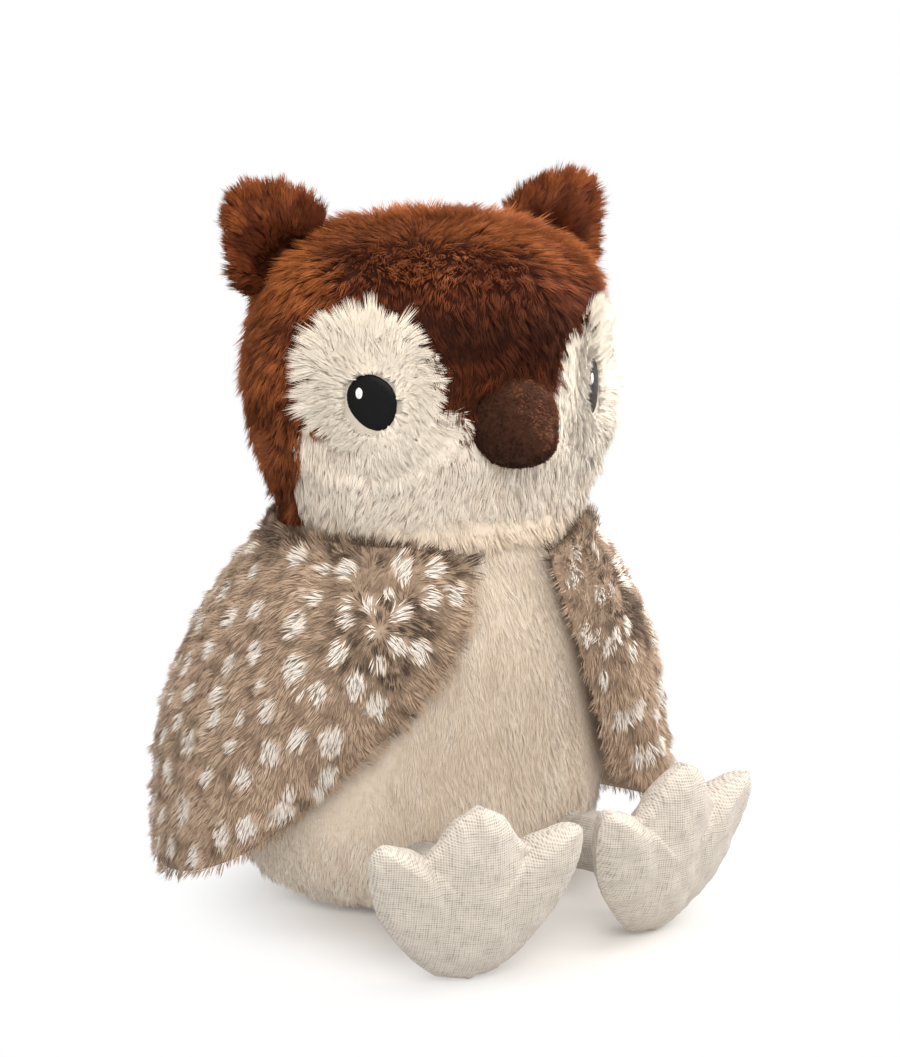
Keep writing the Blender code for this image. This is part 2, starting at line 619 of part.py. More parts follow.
def ear_foot_height(place, foot, rise, across):
    """Where the head's surface crosses a line through the ear's plane, measured from the bending axis."""
    low = -EAR_RISE
    high = EAR_RISE
    while high - low > SEAM_GAP * 0.01:
        middle = (low + high) / 2.0
        point = place + foot * across + rise * middle - NECK_CENTRE
        height = max(point.z, 0.0)
        shift = head_warp(0.0, 0.0, height).y - NECK_CENTRE_Y
        if math.hypot(point.x, point.y - shift) > head_radius(height):
            high = middle
        else:
            low = middle
    return high


def make_ear(materials, side, word, pivot):
    """Two plush panels back to back, bending on the line where they meet the head."""
    place = ear_place(side)
    foot = Vector((side * math.cos(EAR_SLOPE), 0.0, -math.sin(EAR_SLOPE)))
    rise = Vector((side * math.sin(EAR_SLOPE), 0.0, math.cos(EAR_SLOPE)))
    front = Vector((0.0, -1.0, 0.0))
    frame = Matrix((foot, rise, front)).transposed().to_4x4()
    frame.translation = place
    outline = [(EAR_HALF_LENGTH * s, EAR_RISE * h) for s, h in EAR_TOP_SHARES]
    for share in EAR_FOOT_SHARES:
        across = EAR_HALF_LENGTH * share
        outline.append((across, ear_foot_height(place, foot, rise, across) + EAR_RUN))
    middle = (0.0, EAR_RISE * 0.42)
    for direction, name in ((1.0, "front"), (-1.0, "back")):
        make_pillow_half("ear_%s_%s" % (word, name), outline, middle, EAR_HALF_THICKNESS, None, direction, frame,
                         pivot, place, materials["brown_plush"])


# Wings


def wing_place(side, azimuth, height, leaving, depth):
    """A point of the hanging wing, mirrored to +X, at a depth under its face. Leaving is 1 where it swings free."""
    spread = WING_SPREAD + side * WING_SPREAD_UNEVEN
    top = NECK_CENTRE_Z + NECK_BALL_RADIUS * math.cos(WING_TOP_SIDE_ANGLE)
    snug = torso_radius(height) + WING_CLEARANCE + WING_LINING + SEAM_GAP + WING_PANEL
    fallen = min(max((top - height) / (top - WING_TIP_HEIGHT), 0.0), 1.0)
    away = along(WING_SPREAD_SHARES, fallen) * leaving
    ratio = mix(torso_depth_ratio(height), 1.0, away)
    radius = mix(snug, max(spread, snug), away) - depth
    return Vector((radius * math.cos(azimuth), torso_shift(height) - radius * ratio * math.sin(azimuth), height))


def wing_point(side, across, down, depth):
    """Across from the front edge, down from the sewn top edge."""
    front = mix(WING_FRONT_AZIMUTH + side * WING_FRONT_UNEVEN,
                WING_LOW_FRONT_AZIMUTH + side * WING_LOW_FRONT_UNEVEN, down ** 1.4)
    rear = mix(WING_REAR_AZIMUTH, WING_LOW_REAR_AZIMUTH, down)
    azimuth = mix(front, rear, across)
    lean = math.sin(azimuth) ** 2
    top = NECK_CENTRE_Z + NECK_BALL_RADIUS * math.cos(mix(WING_TOP_SIDE_ANGLE, WING_TOP_FRONT_ANGLE, lean))
    hem = WING_TIP_HEIGHT + (top - WING_TIP_HEIGHT) * along(WING_HEM_SHARES, across)
    leaving = smooth(0.12 * down + across * 2.8)
    return wing_place(side, azimuth, mix(top, hem, down), leaving, depth)


def wing_hinge(side):
    """The outermost point of the fold that the free part of the wing bends about."""
    place = wing_place(side, 0.0, WING_FOLD_HEIGHT, 1.0, 0.0)
    return Vector((side * place.x, NECK_CENTRE_Y, place.z))


def grid_solid(outer, inner):
    """A closed sheet from two grids of points with the same rows and columns."""
    rows = len(outer)
    columns = len(outer[0])
    points = [p for row in outer for p in row] + [p for row in inner for p in row]
    back = rows * columns
    faces = []
    for r in range(rows - 1):
        for c in range(columns - 1):
            a = r * columns + c
            faces.append((a, a + 1, a + columns + 1, a + columns))
            faces.append((back + a, back + a + columns, back + a + columns + 1, back + a + 1))
    border = [(0, c) for c in range(columns)] + [(r, columns - 1) for r in range(1, rows)]
    border += [(rows - 1, c) for c in range(columns - 2, -1, -1)] + [(r, 0) for r in range(rows - 2, 0, -1)]
    for (r1, c1), (r2, c2) in zip(border, border[1:] + border[:1]):
        a = r1 * columns + c1
        b = r2 * columns + c2
        faces.append((a, back + a, back + b, b))
    return points, faces


def wing_layer(side, depth, thickness):
    """A closed layer of the whole wing, drawn in thinner along its free edges."""
    outer = []
    inner = []
    for r in range(WING_ROWS + 1):
        down = r / WING_ROWS
        outer_row = []
        inner_row = []
        for c in range(WING_COLUMNS + 1):
            across = c / WING_COLUMNS
            edge = min(across, 1.0 - across, 1.0 - down) * 5.0
            wall = thickness * mix(WING_EDGE_SHARE, 1.0, smooth(edge))
            for row, under in ((outer_row, depth), (inner_row, depth + wall)):
                place = wing_point(side, across, down, under)
                row.append(Vector((side * place.x, place.y, place.z)))
        outer.append(outer_row)
        inner.append(inner_row)
    return grid_solid(outer, inner)


def make_wing(materials, side, word, root, pivot):
    """Above the fold the wing is sewn down on the torso. Below it the wing hangs free from the fold."""
    hinge = wing_hinge(side)
    reach = WING_SPREAD + CUT_OVERRUN
    half = SEAM_GAP / 2.0
    tilt = -side * WING_FOLD_SLOPE
    upper = make_box("shoulder_cutter_" + word, hinge + Vector((-reach, -reach, half)),
                     hinge + Vector((reach, reach, reach)), root, Vector(), tilt, hinge, "Y")
    lower = make_box("flap_cutter_" + word, hinge + Vector((-reach, -reach, -reach)),
                     hinge + Vector((reach, reach, -half)), root, Vector(), tilt, hinge, "Y")
    whole = WING_PANEL + SEAM_GAP + WING_LINING + WING_SEAT
    parts = (("shoulder", 0.0, whole, "spotted_plush", root, Vector(), upper),
             ("outer", 0.0, WING_PANEL, "spotted_plush", pivot, hinge, lower),
             ("lining", WING_PANEL + SEAM_GAP, WING_LINING, "lining_plush", pivot, hinge, lower))
    for name, depth, thickness, material, parent, origin, cutter in parts:
        points, faces = wing_layer(side, depth, thickness)
        layer = make_object("wing_%s_%s" % (word, name), points, faces, parent, origin, materials[material])
        boolean(layer, cutter, "INTERSECT")


# Legs and feet


def hip_place(side):
    depth = torso_radius(HIP_Z) * torso_depth_ratio(HIP_Z)
    share = math.sqrt(1.0 - (HIP_X / torso_radius(HIP_Z)) ** 2)
    return Vector((side * HIP_X, torso_shift(HIP_Z) - depth * share + HIP_INSET, HIP_Z))


def foot_frame(side):
    turn = FOOT_TOE_OUT + side * FOOT_TURN_UNEVEN
    flat = Vector((side * math.sin(turn), -math.cos(turn), 0.0))
    across = Vector((side * math.cos(turn), math.sin(turn), 0.0))
    upward = Vector((0.0, 0.0, math.cos(FOOT_LEAN))) + flat * math.sin(FOOT_LEAN)
    outward = flat * math.cos(FOOT_LEAN) - Vector((0.0, 0.0, math.sin(FOOT_LEAN)))
    frame = Matrix((across, upward, outward)).transposed().to_4x4()
    frame.translation = Vector((side * FOOT_X + FOOT_X_UNEVEN, FOOT_Y + side * FOOT_Y_UNEVEN, -FOOT_FLAT))
    return frame


def ankle_place(side):
    back = -(FOOT_BACK_BULGE + ANKLE_RUN + ANKLE_RADIUS)
    return foot_frame(side) @ Vector((0.0, FOOT_HEIGHT * ANKLE_HEIGHT_SHARE, back))


def make_leg(materials, side, word, pivot):
    hip = hip_place(side)
    ankle = ankle_place(side)
    run = ankle - hip
    axis = run.normalized()
    length = run.length
    sideways = axis.cross(Vector((0.0, 0.0, 1.0))).normalized()
    frame = Matrix((sideways, axis.cross(sideways), axis)).transposed().to_4x4()
    frame.translation = hip

    def profile(less, open_angle):
        hip_ball = HIP_RADIUS - less
        ankle_ball = ANKLE_RADIUS - less
        result = []
        for degrees in (open_angle, mix(open_angle, HIP_WAIST_ANGLE, 0.5), HIP_WAIST_ANGLE):
            angle = math.radians(180.0 - degrees)
            result.append((hip_ball * math.sin(angle), hip_ball * math.cos(angle)))
        for degrees in (ANKLE_WAIST_ANGLE, mix(open_angle, ANKLE_WAIST_ANGLE, 0.5), open_angle):
            angle = math.radians(degrees)
            result.append((ankle_ball * math.sin(angle), length + ankle_ball * math.cos(angle)))
        return result

    outer = profile(0.0, HIP_OPEN_ANGLE) + [(0.0, length + ANKLE_RADIUS)]
    inner = profile(LEG_CLOTH, HIP_OPEN_ANGLE) + [(0.0, length + ANKLE_RADIUS - LEG_CLOTH)]
    points, faces = turned(outer + inner[::-1], LEG_SEGMENTS, lambda x, y, z: frame @ Vector((x, y, z)))
    faces += ring_faces(0, len(points) - LEG_SEGMENTS, LEG_SEGMENTS)
    make_object("leg_%s_cover" % word, points, faces, pivot, hip, materials["linen"])
    fill = profile(LEG_CLOTH + SEAM_GAP, HIP_OPEN_ANGLE)
    fill = [(0.0, -HIP_RADIUS + LEG_CLOTH)] + fill + [(0.0, length + ANKLE_RADIUS - LEG_CLOTH - SEAM_GAP)]
    points, faces = turned(fill, LEG_SEGMENTS, lambda x, y, z: frame @ Vector((x, y, z)))
    make_object("leg_%s_stuffing" % word, points, faces, pivot, hip, materials["stuffing"])


def make_foot(materials, side, word, pivot):
    ankle = ankle_place(side)
    frame = foot_frame(side)
    half = [(FOOT_WIDTH * a, FOOT_HEIGHT * h) for a, h in FOOT_OUTLINE_SHARES]
    outline = half + [(-a, h) for a, h in half[-2:0:-1]]
    middle = (0.0, FOOT_HEIGHT * FOOT_MIDDLE_SHARE)
    floor = make_box("floor_cutter_" + word, (-FOOT_WIDTH * 2.0, -FOOT_HEIGHT * 4.0, -CUT_OVERRUN),
                     (FOOT_WIDTH * 2.0, FOOT_HEIGHT, 0.0), pivot, ankle)
    sole = make_pillow_half("foot_%s_sole" % word, outline, middle, FOOT_FRONT_BULGE, FOOT_CLOTH, 1.0, frame,
                            pivot, ankle, materials["linen"])
    upper = make_pillow_half("foot_%s_upper" % word, outline, middle, FOOT_BACK_BULGE, FOOT_CLOTH, -1.0, frame,
                             pivot, ankle, materials["linen"])
    boolean(sole, floor, "DIFFERENCE")
    boolean(upper, floor, "DIFFERENCE")
    make_foot_stuffing(materials, word, outline, middle, frame, pivot, ankle)


def make_foot_stuffing(materials, word, outline, middle, frame, pivot, origin):
    """The fill of a foot: both bulges in one solid, a cloth and a gap smaller than the panels."""
    inset = FOOT_CLOTH * 1.2 + SEAM_GAP * 2.0
    thin = outline[::2]
    count = len(thin)
    points = []
    faces = []
    middle_ring = []
    for across, up in thin:
        spoke = Vector((across - middle[0], up - middle[1]))
        middle_ring.append(spoke * (1.0 - inset / spoke.length) * 0.93)
    levels = []
    for side, bulge in ((-1.0, FOOT_BACK_BULGE), (1.0, FOOT_FRONT_BULGE)):
        rows = []
        for reach, fullness in PILLOW_RING_SHARES[1:-1]:
            rise = max(bulge * fullness - FOOT_CLOTH - SEAM_GAP * 2.0, SEAM_GAP)
            rows.append((reach * 0.97, side * rise))
        levels.append((rows, side * (bulge - FOOT_CLOTH - SEAM_GAP * 2.0)))
    order = levels[0][0][::-1] + [(1.0, 0.0)] + levels[1][0]
    points.append(frame @ Vector((middle[0], middle[1], levels[0][1])))
    for reach, rise in order:
        for spoke in middle_ring:
            points.append(frame @ Vector((middle[0] + spoke.x * reach, middle[1] + spoke.y * reach, rise)))
    points.append(frame @ Vector((middle[0], middle[1], levels[1][1])))
    last = len(points) - 1
    faces += [(0, 1 + (i + 1) % count, 1 + i) for i in range(count)]
    for ring in range(len(order) - 1):
        faces += ring_faces(1 + ring * count, 1 + (ring + 1) * count, count)
    top = 1 + (len(order) - 1) * count
    faces += [(last, top + i, top + (i + 1) % count) for i in range(count)]
    make_object("foot_%s_stuffing" % word, points, faces, pivot, origin, materials["stuffing"])


def make_materials():
    return {
        "brown_plush": make_material("brown_plush", (0.095, 0.030, 0.012), 0.95),
        "cream_plush": make_material("cream_plush", (0.66, 0.56, 0.44), 0.95),
        "long_plush": make_material("long_plush", (0.78, 0.71, 0.60), 0.95),
        "spotted_plush": make_material("spotted_plush", (0.22, 0.14, 0.085), 0.95),
        "lining_plush": make_material("lining_plush", (0.60, 0.48, 0.36), 0.95),
        "beak_velour": make_material("beak_velour", (0.085, 0.035, 0.020), 0.9),
        "linen": make_material("linen", (0.60, 0.55, 0.46), 0.9),
        "eye_thread": make_material("eye_thread", (0.008, 0.008, 0.008), 0.45),
        "highlight_thread": make_material("highlight_thread", (0.85, 0.85, 0.84), 0.5),
        "stuffing": make_material("stuffing", (0.85, 0.85, 0.85), 1.0),
        "bag_cotton": make_material("bag_cotton", (0.75, 0.73, 0.68), 0.9),
    }


def build():
    clear_scene()
    materials = make_materials()
    root = make_pivot("torso_origin", Vector())
    head_pivot = make_pivot("head_pivot", NECK_CENTRE, turn=HEAD_TURN_AT_REST)
    make_torso(materials, root)
    make_neck(materials, head_pivot)
    make_head(materials, head_pivot)
    for side, word in ((1.0, "left"), (-1.0, "right")):
        ear_pivot = make_pivot("ear_pivot_" + word, ear_place(side) - NECK_CENTRE, head_pivot)
        make_ear(materials, side, word, ear_pivot)
        wing_pivot = make_pivot("wing_pivot_" + word, wing_hinge(side))
        make_wing(materials, side, word, root, wing_pivot)
        leg_pivot = make_pivot("leg_pivot_" + word, hip_place(side))
        make_leg(materials, side, word, leg_pivot)
        foot_pivot = make_pivot("foot_pivot_" + word, ankle_place(side) - hip_place(side), leg_pivot)
        make_foot(materials, side, word, foot_pivot)
    bpy.context.view_layer.update()


build()
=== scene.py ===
"""Seated plush owl: the pile, cloth and stitching that show over its CAD frame."""

import math

import bpy
import numpy as np
from bpy.props import FloatProperty, FloatVectorProperty, IntProperty, PointerProperty
from mathutils import Matrix, Vector
from mathutils.kdtree import KDTree


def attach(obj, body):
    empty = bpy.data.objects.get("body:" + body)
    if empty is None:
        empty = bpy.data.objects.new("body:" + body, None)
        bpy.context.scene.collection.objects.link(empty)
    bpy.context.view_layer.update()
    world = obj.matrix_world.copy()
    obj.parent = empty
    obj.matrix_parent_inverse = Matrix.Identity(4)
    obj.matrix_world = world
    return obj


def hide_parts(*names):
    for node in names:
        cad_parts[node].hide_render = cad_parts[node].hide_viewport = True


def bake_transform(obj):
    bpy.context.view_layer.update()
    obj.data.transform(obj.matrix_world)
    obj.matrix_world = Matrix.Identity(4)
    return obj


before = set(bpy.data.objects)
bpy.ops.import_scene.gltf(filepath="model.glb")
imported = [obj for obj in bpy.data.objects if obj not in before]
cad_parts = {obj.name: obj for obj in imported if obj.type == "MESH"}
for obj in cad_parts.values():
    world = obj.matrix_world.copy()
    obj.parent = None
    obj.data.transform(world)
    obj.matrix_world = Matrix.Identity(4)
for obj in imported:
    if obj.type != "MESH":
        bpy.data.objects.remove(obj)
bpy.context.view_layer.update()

bl_info = {
    "name": "Plush Owl",
    "version": (1, 0, 0),
    "blender": (4, 5, 0),
    "location": "3D View > Sidebar > Owl",
    "description": "Builds the seated plush owl's pile, cloth, stitching and stage",
    "category": "Object",
}

# Lengths in the shape code are millimetres; add_mesh turns them into metres
MM = 0.001
FLOOR_GAP = 0.25
DOWN = np.array((0.0, 0.0, -1.0))

# The neck and the turn of the head, as in the CAD frame
NECK = np.array((0.0, -8.0, 120.0))
BALL = 60.5
SOCKET = 62.5
HEAD_TURN = math.radians(-4.8)
BALL_EDGE = math.radians(76.0)
BALL_TOP = NECK[2] + BALL * math.cos(BALL_EDGE)

TORSO_WIDTH = 79.0
TORSO_BASE = 50.0
TORSO_LEAN = 16.0
TORSO_LOW_SHARES = ((0.0, 0.0), (0.022, 0.24), (0.06, 0.46), (0.112, 0.64), (0.186, 0.82), (0.28, 0.95))
TORSO_HIGH_SHARES = ((0.387, 1.0), (0.49, 0.975), (0.595, 0.875), (0.70, 0.70), (0.80, 0.48), (0.90, 0.23))

HEAD_WIDTH = 73.5
HEAD_HEIGHT = 116.0
HEAD_FORWARD = 1.5
HEAD_RIM = math.radians(63.5)
HEAD_LOW_SHARES = ((0.085, 0.27), (0.19, 0.54), (0.31, 0.82), (0.44, 1.0))
HEAD_HIGH_SHARES = (
    (0.56, 0.985), (0.68, 0.945), (0.785, 0.875), (0.875, 0.75), (0.945, 0.555), (0.985, 0.30))
SIDE_SEAM_Y = 2.0
SIDE_SEAM_TILT = math.radians(8.0)
DISC = {"azimuth": math.radians(48.5), "height": 203.0, "tilt": math.radians(3.0), "half": (35.0, 33.0)}
EYE = {"azimuth": math.radians(46.6), "height": 199.7, "tilt": 0.0, "half": (10.1, 10.7),
       "skew": math.radians(1.3)}
EYE_REACH = 62.3
# A stitched patch from under its middle out over its edge: shares of its half size and of its swell
EYE_PROFILE = ((0.0, -1.4), (0.9, -1.4), (1.0, -0.5), (1.0, 0.0), (0.94, 0.35), (0.8, 0.6), (0.6, 0.8),
               (0.4, 0.92), (0.2, 0.98), (0.0, 1.0))
BEAK = {"azimuth": math.radians(1.5), "height": 204.6, "tilt": math.radians(-10.5), "base": 57.5,
        "length": 30.5, "radius": 17.4, "droop": 3.0}
BEAK_SHARES = ((0.0, 1.0), (0.18, 0.98), (0.38, 0.88), (0.58, 0.71), (0.77, 0.50), (0.92, 0.30), (1.0, 0.0))
BEAK_TALL_SHARE = 1.07
BEAK_DEPTH = 1.2

EAR_FOOT = np.array((56.0, 2.0, 249.7))
EAR_SLOPE = math.radians(40.0)
EAR_HALF = 20.0
EAR_RISE = 26.0
EAR_THICK = 5.0
EAR_DEPTH = 1.8
EAR_SHARES = ((1.0, 0.05), (0.84, 0.28), (0.64, 0.54), (0.34, 0.86), (0.10, 0.99), (-0.20, 0.97),
              (-0.50, 0.78), (-0.74, 0.52), (-0.92, 0.22), (-1.0, 0.02))

WING_TIP = 13.0
WING_SPREAD = 105.3
WING_SNUG = 9.3
WING_HEM_SHARES = (0.27, 0.15, 0.07, 0.02, 0.0, 0.07)
WING_SPREAD_SHARES = (0.0, 0.23, 0.41, 0.56, 0.70, 0.83, 0.93, 1.0, 1.0)
# the pale spots of each wing: shares across from its front edge and down from its seam, and their radius
SPOTS_RIGHT = (
    (0.97, 0.05, 3.1), (0.50, 0.04, 5.1), (0.39, 0.06, 2.7), (0.33, 0.05, 4.4), (0.64, 0.11, 2.9),
    (0.18, 0.03, 4.6), (0.09, 0.03, 4.6), (0.17, 0.07, 3.3), (0.54, 0.19, 4.0), (0.62, 0.23, 4.0),
    (0.38, 0.14, 3.1), (0.30, 0.14, 2.7), (0.24, 0.14, 3.1), (0.03, 0.12, 3.9), (0.09, 0.13, 3.5),
    (0.20, 0.11, 1.9), (0.15, 0.17, 3.7), (0.40, 0.21, 4.7), (0.28, 0.19, 3.1), (0.20, 0.23, 3.3),
    (0.64, 0.33, 4.0), (0.47, 0.30, 3.6), (0.53, 0.35, 3.4), (0.26, 0.29, 4.2), (0.12, 0.29, 3.8),
    (0.06, 0.32, 4.0), (0.34, 0.34, 4.9), (0.14, 0.35, 3.0), (0.53, 0.44, 3.8), (0.41, 0.39, 2.4),
    (0.64, 0.46, 3.4), (0.30, 0.41, 2.3), (0.25, 0.42, 3.6), (0.17, 0.41, 4.2), (0.35, 0.47, 4.0),
    (0.50, 0.51, 3.6), (0.42, 0.50, 2.9), (0.74, 0.62, 3.7), (0.57, 0.60, 4.7), (0.41, 0.59, 3.1),
    (0.28, 0.61, 4.7), (0.23, 0.57, 4.0), (0.13, 0.61, 5.2), (0.07, 0.52, 4.4), (0.46, 0.69, 3.6),
    (0.33, 0.69, 4.1), (0.55, 0.80, 5.3), (0.14, 0.80, 3.0), (0.04, 0.79, 3.8), (0.0, 0.89, 3.1),
    (0.12, 0.89, 4.7), (0.33, 0.89, 4.9), (0.23, 0.89, 4.9), (0.45, 0.95, 3.8))
SPOTS_REAR = (
    (0.75, 0.07, 3.4), (0.86, 0.10, 4.0), (0.73, 0.18, 4.2), (0.83, 0.21, 3.0), (0.94, 0.19, 3.8),
    (0.76, 0.29, 3.2), (0.88, 0.31, 4.4), (0.73, 0.39, 4.0), (0.82, 0.42, 3.4), (0.95, 0.40, 3.6),
    (0.75, 0.51, 3.0), (0.87, 0.52, 4.3), (0.66, 0.55, 3.4), (0.84, 0.63, 3.2), (0.95, 0.60, 4.0),
    (0.67, 0.71, 4.4), (0.79, 0.73, 3.8), (0.91, 0.74, 3.2), (0.69, 0.84, 3.2), (0.83, 0.85, 4.6),
    (0.95, 0.86, 3.6), (0.60, 0.93, 3.8), (0.74, 0.94, 3.4), (0.90, 0.95, 3.6))
SPOTS_LEFT = (
    (0.08, 0.03, 3.0), (0.19, 0.06, 2.6), (0.05, 0.10, 3.0), (0.02, 0.14, 2.4), (0.12, 0.20, 3.0),
    (0.17, 0.19, 2.4), (0.01, 0.35, 3.0), (0.05, 0.36, 2.6), (0.08, 0.41, 2.8), (0.12, 0.38, 2.8),
    (0.18, 0.34, 2.6), (0.17, 0.44, 2.6), (0.05, 0.76, 3.0), (0.09, 0.74, 3.2), (0.14, 0.69, 3.0),
    (0.22, 0.70, 2.6), (0.10, 0.91, 3.0), (0.16, 0.87, 3.0), (0.22, 0.82, 2.8), (0.03, 0.56, 2.6))
SPOT_SIZE = 0.88
# The spots' shares across count from a front edge of this power, a little behind the right wing's own
SPOT_EDGE_POWER = 1.4
WHORL = (0.20, 0.25)

HIP = 31.0
HIP_Z = 24.0
HIP_BALL = 14.5
ANKLE_BALL = 10.5
FOOT_PLACE = (41.8, -99.8)
FOOT_SIZE = (78.0, 71.0)
FOOT_YAW = math.radians(14.0)
FOOT_LEAN = math.radians(13.0)
FOOT_BULGES = (10.0, 14.0)
FOOT_SHARES = (
    (0.0, 0.0), (0.15, 0.04), (0.265, 0.15), (0.375, 0.30), (0.455, 0.445), (0.50, 0.60), (0.515, 0.73),
    (0.505, 0.805), (0.465, 0.835), (0.35, 0.795), (0.245, 0.74), (0.185, 0.81), (0.11, 0.935), (0.0, 1.0))
ANKLE_SHARE = 0.33

SIDES = ((1.0, "left"), (-1.0, "right"))
CROWN, BACK_LEFT, BACK_RIGHT, DISC_LEFT, DISC_RIGHT, CHIN = range(6)

# Locks on the pieces that have no setting of their own, and shares of those that have
HEAD_BACK_LOCKS = 17500
DISC_LOCKS = 27000
CHIN_LOCKS = 28000
BEAK_LOCKS = 15500
EAR_LOCKS = 7500
BODY_BACK_SHARE = 0.38
WING_BOTH_FACES = 1.95
LINING_SHARE = 0.32

# The photograph's camera: turn and rise about the owl, distances in metres, focal length in picture heights
CAMERA_AZIMUTH = math.radians(-31.9)
CAMERA_RISE = math.radians(12.2)
CAMERA_DISTANCE = 0.951
CAMERA_TARGET = (0.0, 0.0, 0.140)
CAMERA_SHIFT = (0.0115, 0.0001)
CAMERA_FOCAL = 2452.0 / 1057.0
SENSOR_HEIGHT = 36.0

# Each lamp's name, place, target, size, power and colour, in metres and watts
LAMPS = (
    ("key", (-0.55, -1.25, 1.15), (0.0, 0.0, 0.13), (0.9, 0.9), 20.0, (1.0, 0.985, 0.96)),
    ("top", (0.1, 0.1, 1.5), (0.0, 0.0, 0.1), (1.4, 1.4), 18.0, (1.0, 1.0, 1.0)),
    ("side", (1.3, -0.4, 0.8), (0.0, 0.0, 0.13), (0.9, 1.1), 20.0, (1.0, 0.99, 0.98)))
WORLD_LIGHT = 0.94


# Settings


def srgb(red, green, blue):
    """A colour as it shows on screen, 0 to 255, as the linear values that materials take."""
    return tuple(c / 3294.6 if c <= 10 else ((c / 255.0 + 0.055) / 1.055) ** 2.4 for c in (red, green, blue))


def length_property(name, description, default):
    return FloatProperty(name=name, description=description, default=default, unit="LENGTH", min=0.0)


def count_property(name, description, default):
    return IntProperty(name=name, description=description, default=default, min=1)


def colour_property(name, description, default):
    return FloatVectorProperty(name=name, description=description, default=default, subtype="COLOR", size=3,
                               min=0.0, max=1.0)


class OwlSizes(bpy.types.PropertyGroup):
    crown_pile: length_property("Crown pile", "Length of the brown pile on the head", 0.0085)
    disc_pile: length_property("Disc pile", "Length of the long pile round the eyes", 0.0115)
    chin_pile: length_property("Chin pile", "Length of the pile on the cheeks and chin", 0.0068)
    ear_pile: length_property("Ear pile", "Length of the pile on the ears", 0.0078)
    body_pile: length_property("Body pile", "Length of the cream pile on the body", 0.0046)
    wing_pile: length_property("Wing pile", "Length of the spotted pile on the wings", 0.0049)
    lining_pile: length_property("Lining pile", "Length of the pile inside the wings", 0.0026)
    beak_pile: length_property("Beak pile", "Length of the velour nap on the beak", 0.0014)
    strand: length_property("Strand width", "Width of one lock of pile at its thickest", 0.00038)
    thread: length_property("Linen pitch", "Distance between two threads of the linen", 0.00088)
    crown_locks: count_property("Crown locks", "Locks on the front of the crown", 33000)
    body_locks: count_property("Body locks", "Locks on the front of the body", 49500)
    wing_locks: count_property("Wing locks", "Locks on one face of a wing", 25000)


class OwlColours(bpy.types.PropertyGroup):
    brown_dark: colour_property("Crown shade", "Brown between the locks", srgb(44, 17, 6))
    brown: colour_property("Crown", "Brown of the crown and ears", srgb(97, 47, 25))
    # The lightest brown is also the painted highlight on the crown's top and sides and on the ears' rims
    brown_light: colour_property("Crown tips", "Brown of the lightest locks", srgb(188, 110, 60))
    cream_dark: colour_property("Cream shade", "Cream of the darkest locks", srgb(205, 185, 160))
    cream: colour_property("Cream", "Cream of the body", srgb(227, 209, 189))
    cream_light: colour_property("Cream tips", "Cream of the lightest locks", srgb(246, 235, 219))
    disc: colour_property("Disc", "White of the eye discs", srgb(234, 222, 205))
    wing_dark: colour_property("Wing shade", "Darkest brown of the wings", srgb(60, 44, 34))
    wing: colour_property("Wing", "Brown of the wings", srgb(182, 155, 131))
    wing_light: colour_property("Wing tips", "Lightest brown of the wings", srgb(200, 173, 149))
    spot: colour_property("Spots", "White of the spots on the wings", srgb(224, 215, 204))
    beak: colour_property("Beak", "Brown of the beak", srgb(73, 42, 27))
    linen: colour_property("Linen", "Cloth of the legs and feet", srgb(181, 172, 161))
    thread: colour_property("Eye thread", "Black thread of the eyes", srgb(7, 7, 8))


# Numbers and shapes


def mix(low, high, share):
    return low + (high - low) * share


def smooth(share):
    share = np.clip(share, 0.0, 1.0)
    return share * share * (3.0 - 2.0 * share)


def unit(vectors):
    return vectors / np.maximum(np.linalg.norm(vectors, axis=-1, keepdims=True), 1e-9)


def dot(first, second):
    return np.sum(first * second, axis=-1, keepdims=True)


def ripple(points, wavelength, seed, waves=9):
    """Soft noise from about -1 to 1: waves that cross in scattered directions."""
    rng = np.random.default_rng(seed)
    total = np.zeros(points.shape[:-1])
    for _ in range(waves):
        direction = rng.normal(size=points.shape[-1])
        direction *= 2.0 * math.pi / (np.linalg.norm(direction) * wavelength * rng.uniform(0.7, 1.5))
        total += np.sin(points @ direction + rng.uniform(0.0, 2.0 * math.pi))
    return total / math.sqrt(waves) * 1.2


def ripples(points, wavelength, first):
    """Soft noise along each of three axes, from three seeds in a row."""
    return np.stack([ripple(points, wavelength, first + k) for k in range(3)], axis=1)


def spline(points, per, closed=False):
    """A smooth line through points."""
    points = np.asarray(points, float)
    if closed:
        points = np.vstack((points[-1:], points, points[:2]))
    else:
        points = np.vstack((2.0 * points[:1] - points[1:2], points, 2.0 * points[-1:] - points[-2:-1]))
    t = (np.arange(per) / per)[:, None]
    parts = []
    for a, b, c, d in zip(points, points[1:], points[2:], points[3:]):
        parts.append(0.5 * (2.0 * b + (c - a) * t + (2.0 * a - 5.0 * b + 4.0 * c - d) * t ** 2
                            + (3.0 * b - a - 3.0 * c + d) * t ** 3))
    if not closed:
        parts.append(points[-2:-1])
    return np.vstack(parts)


def along(shares, place):
    """A value read smoothly from evenly spaced shares."""
    fine = spline(np.array(shares)[:, None], 12)[:, 0]
    return np.interp(place, np.linspace(0.0, 1.0, len(fine)), fine)


def turned_head(points, turn=HEAD_TURN):
    """Points turned about the neck: from straight ahead to the head's turn at rest, if no other is given."""
    c, s = math.cos(turn), math.sin(turn)
    return (points - NECK) @ np.array(((c, s, 0.0), (-s, c, 0.0), (0.0, 0.0, 1.0))) + NECK


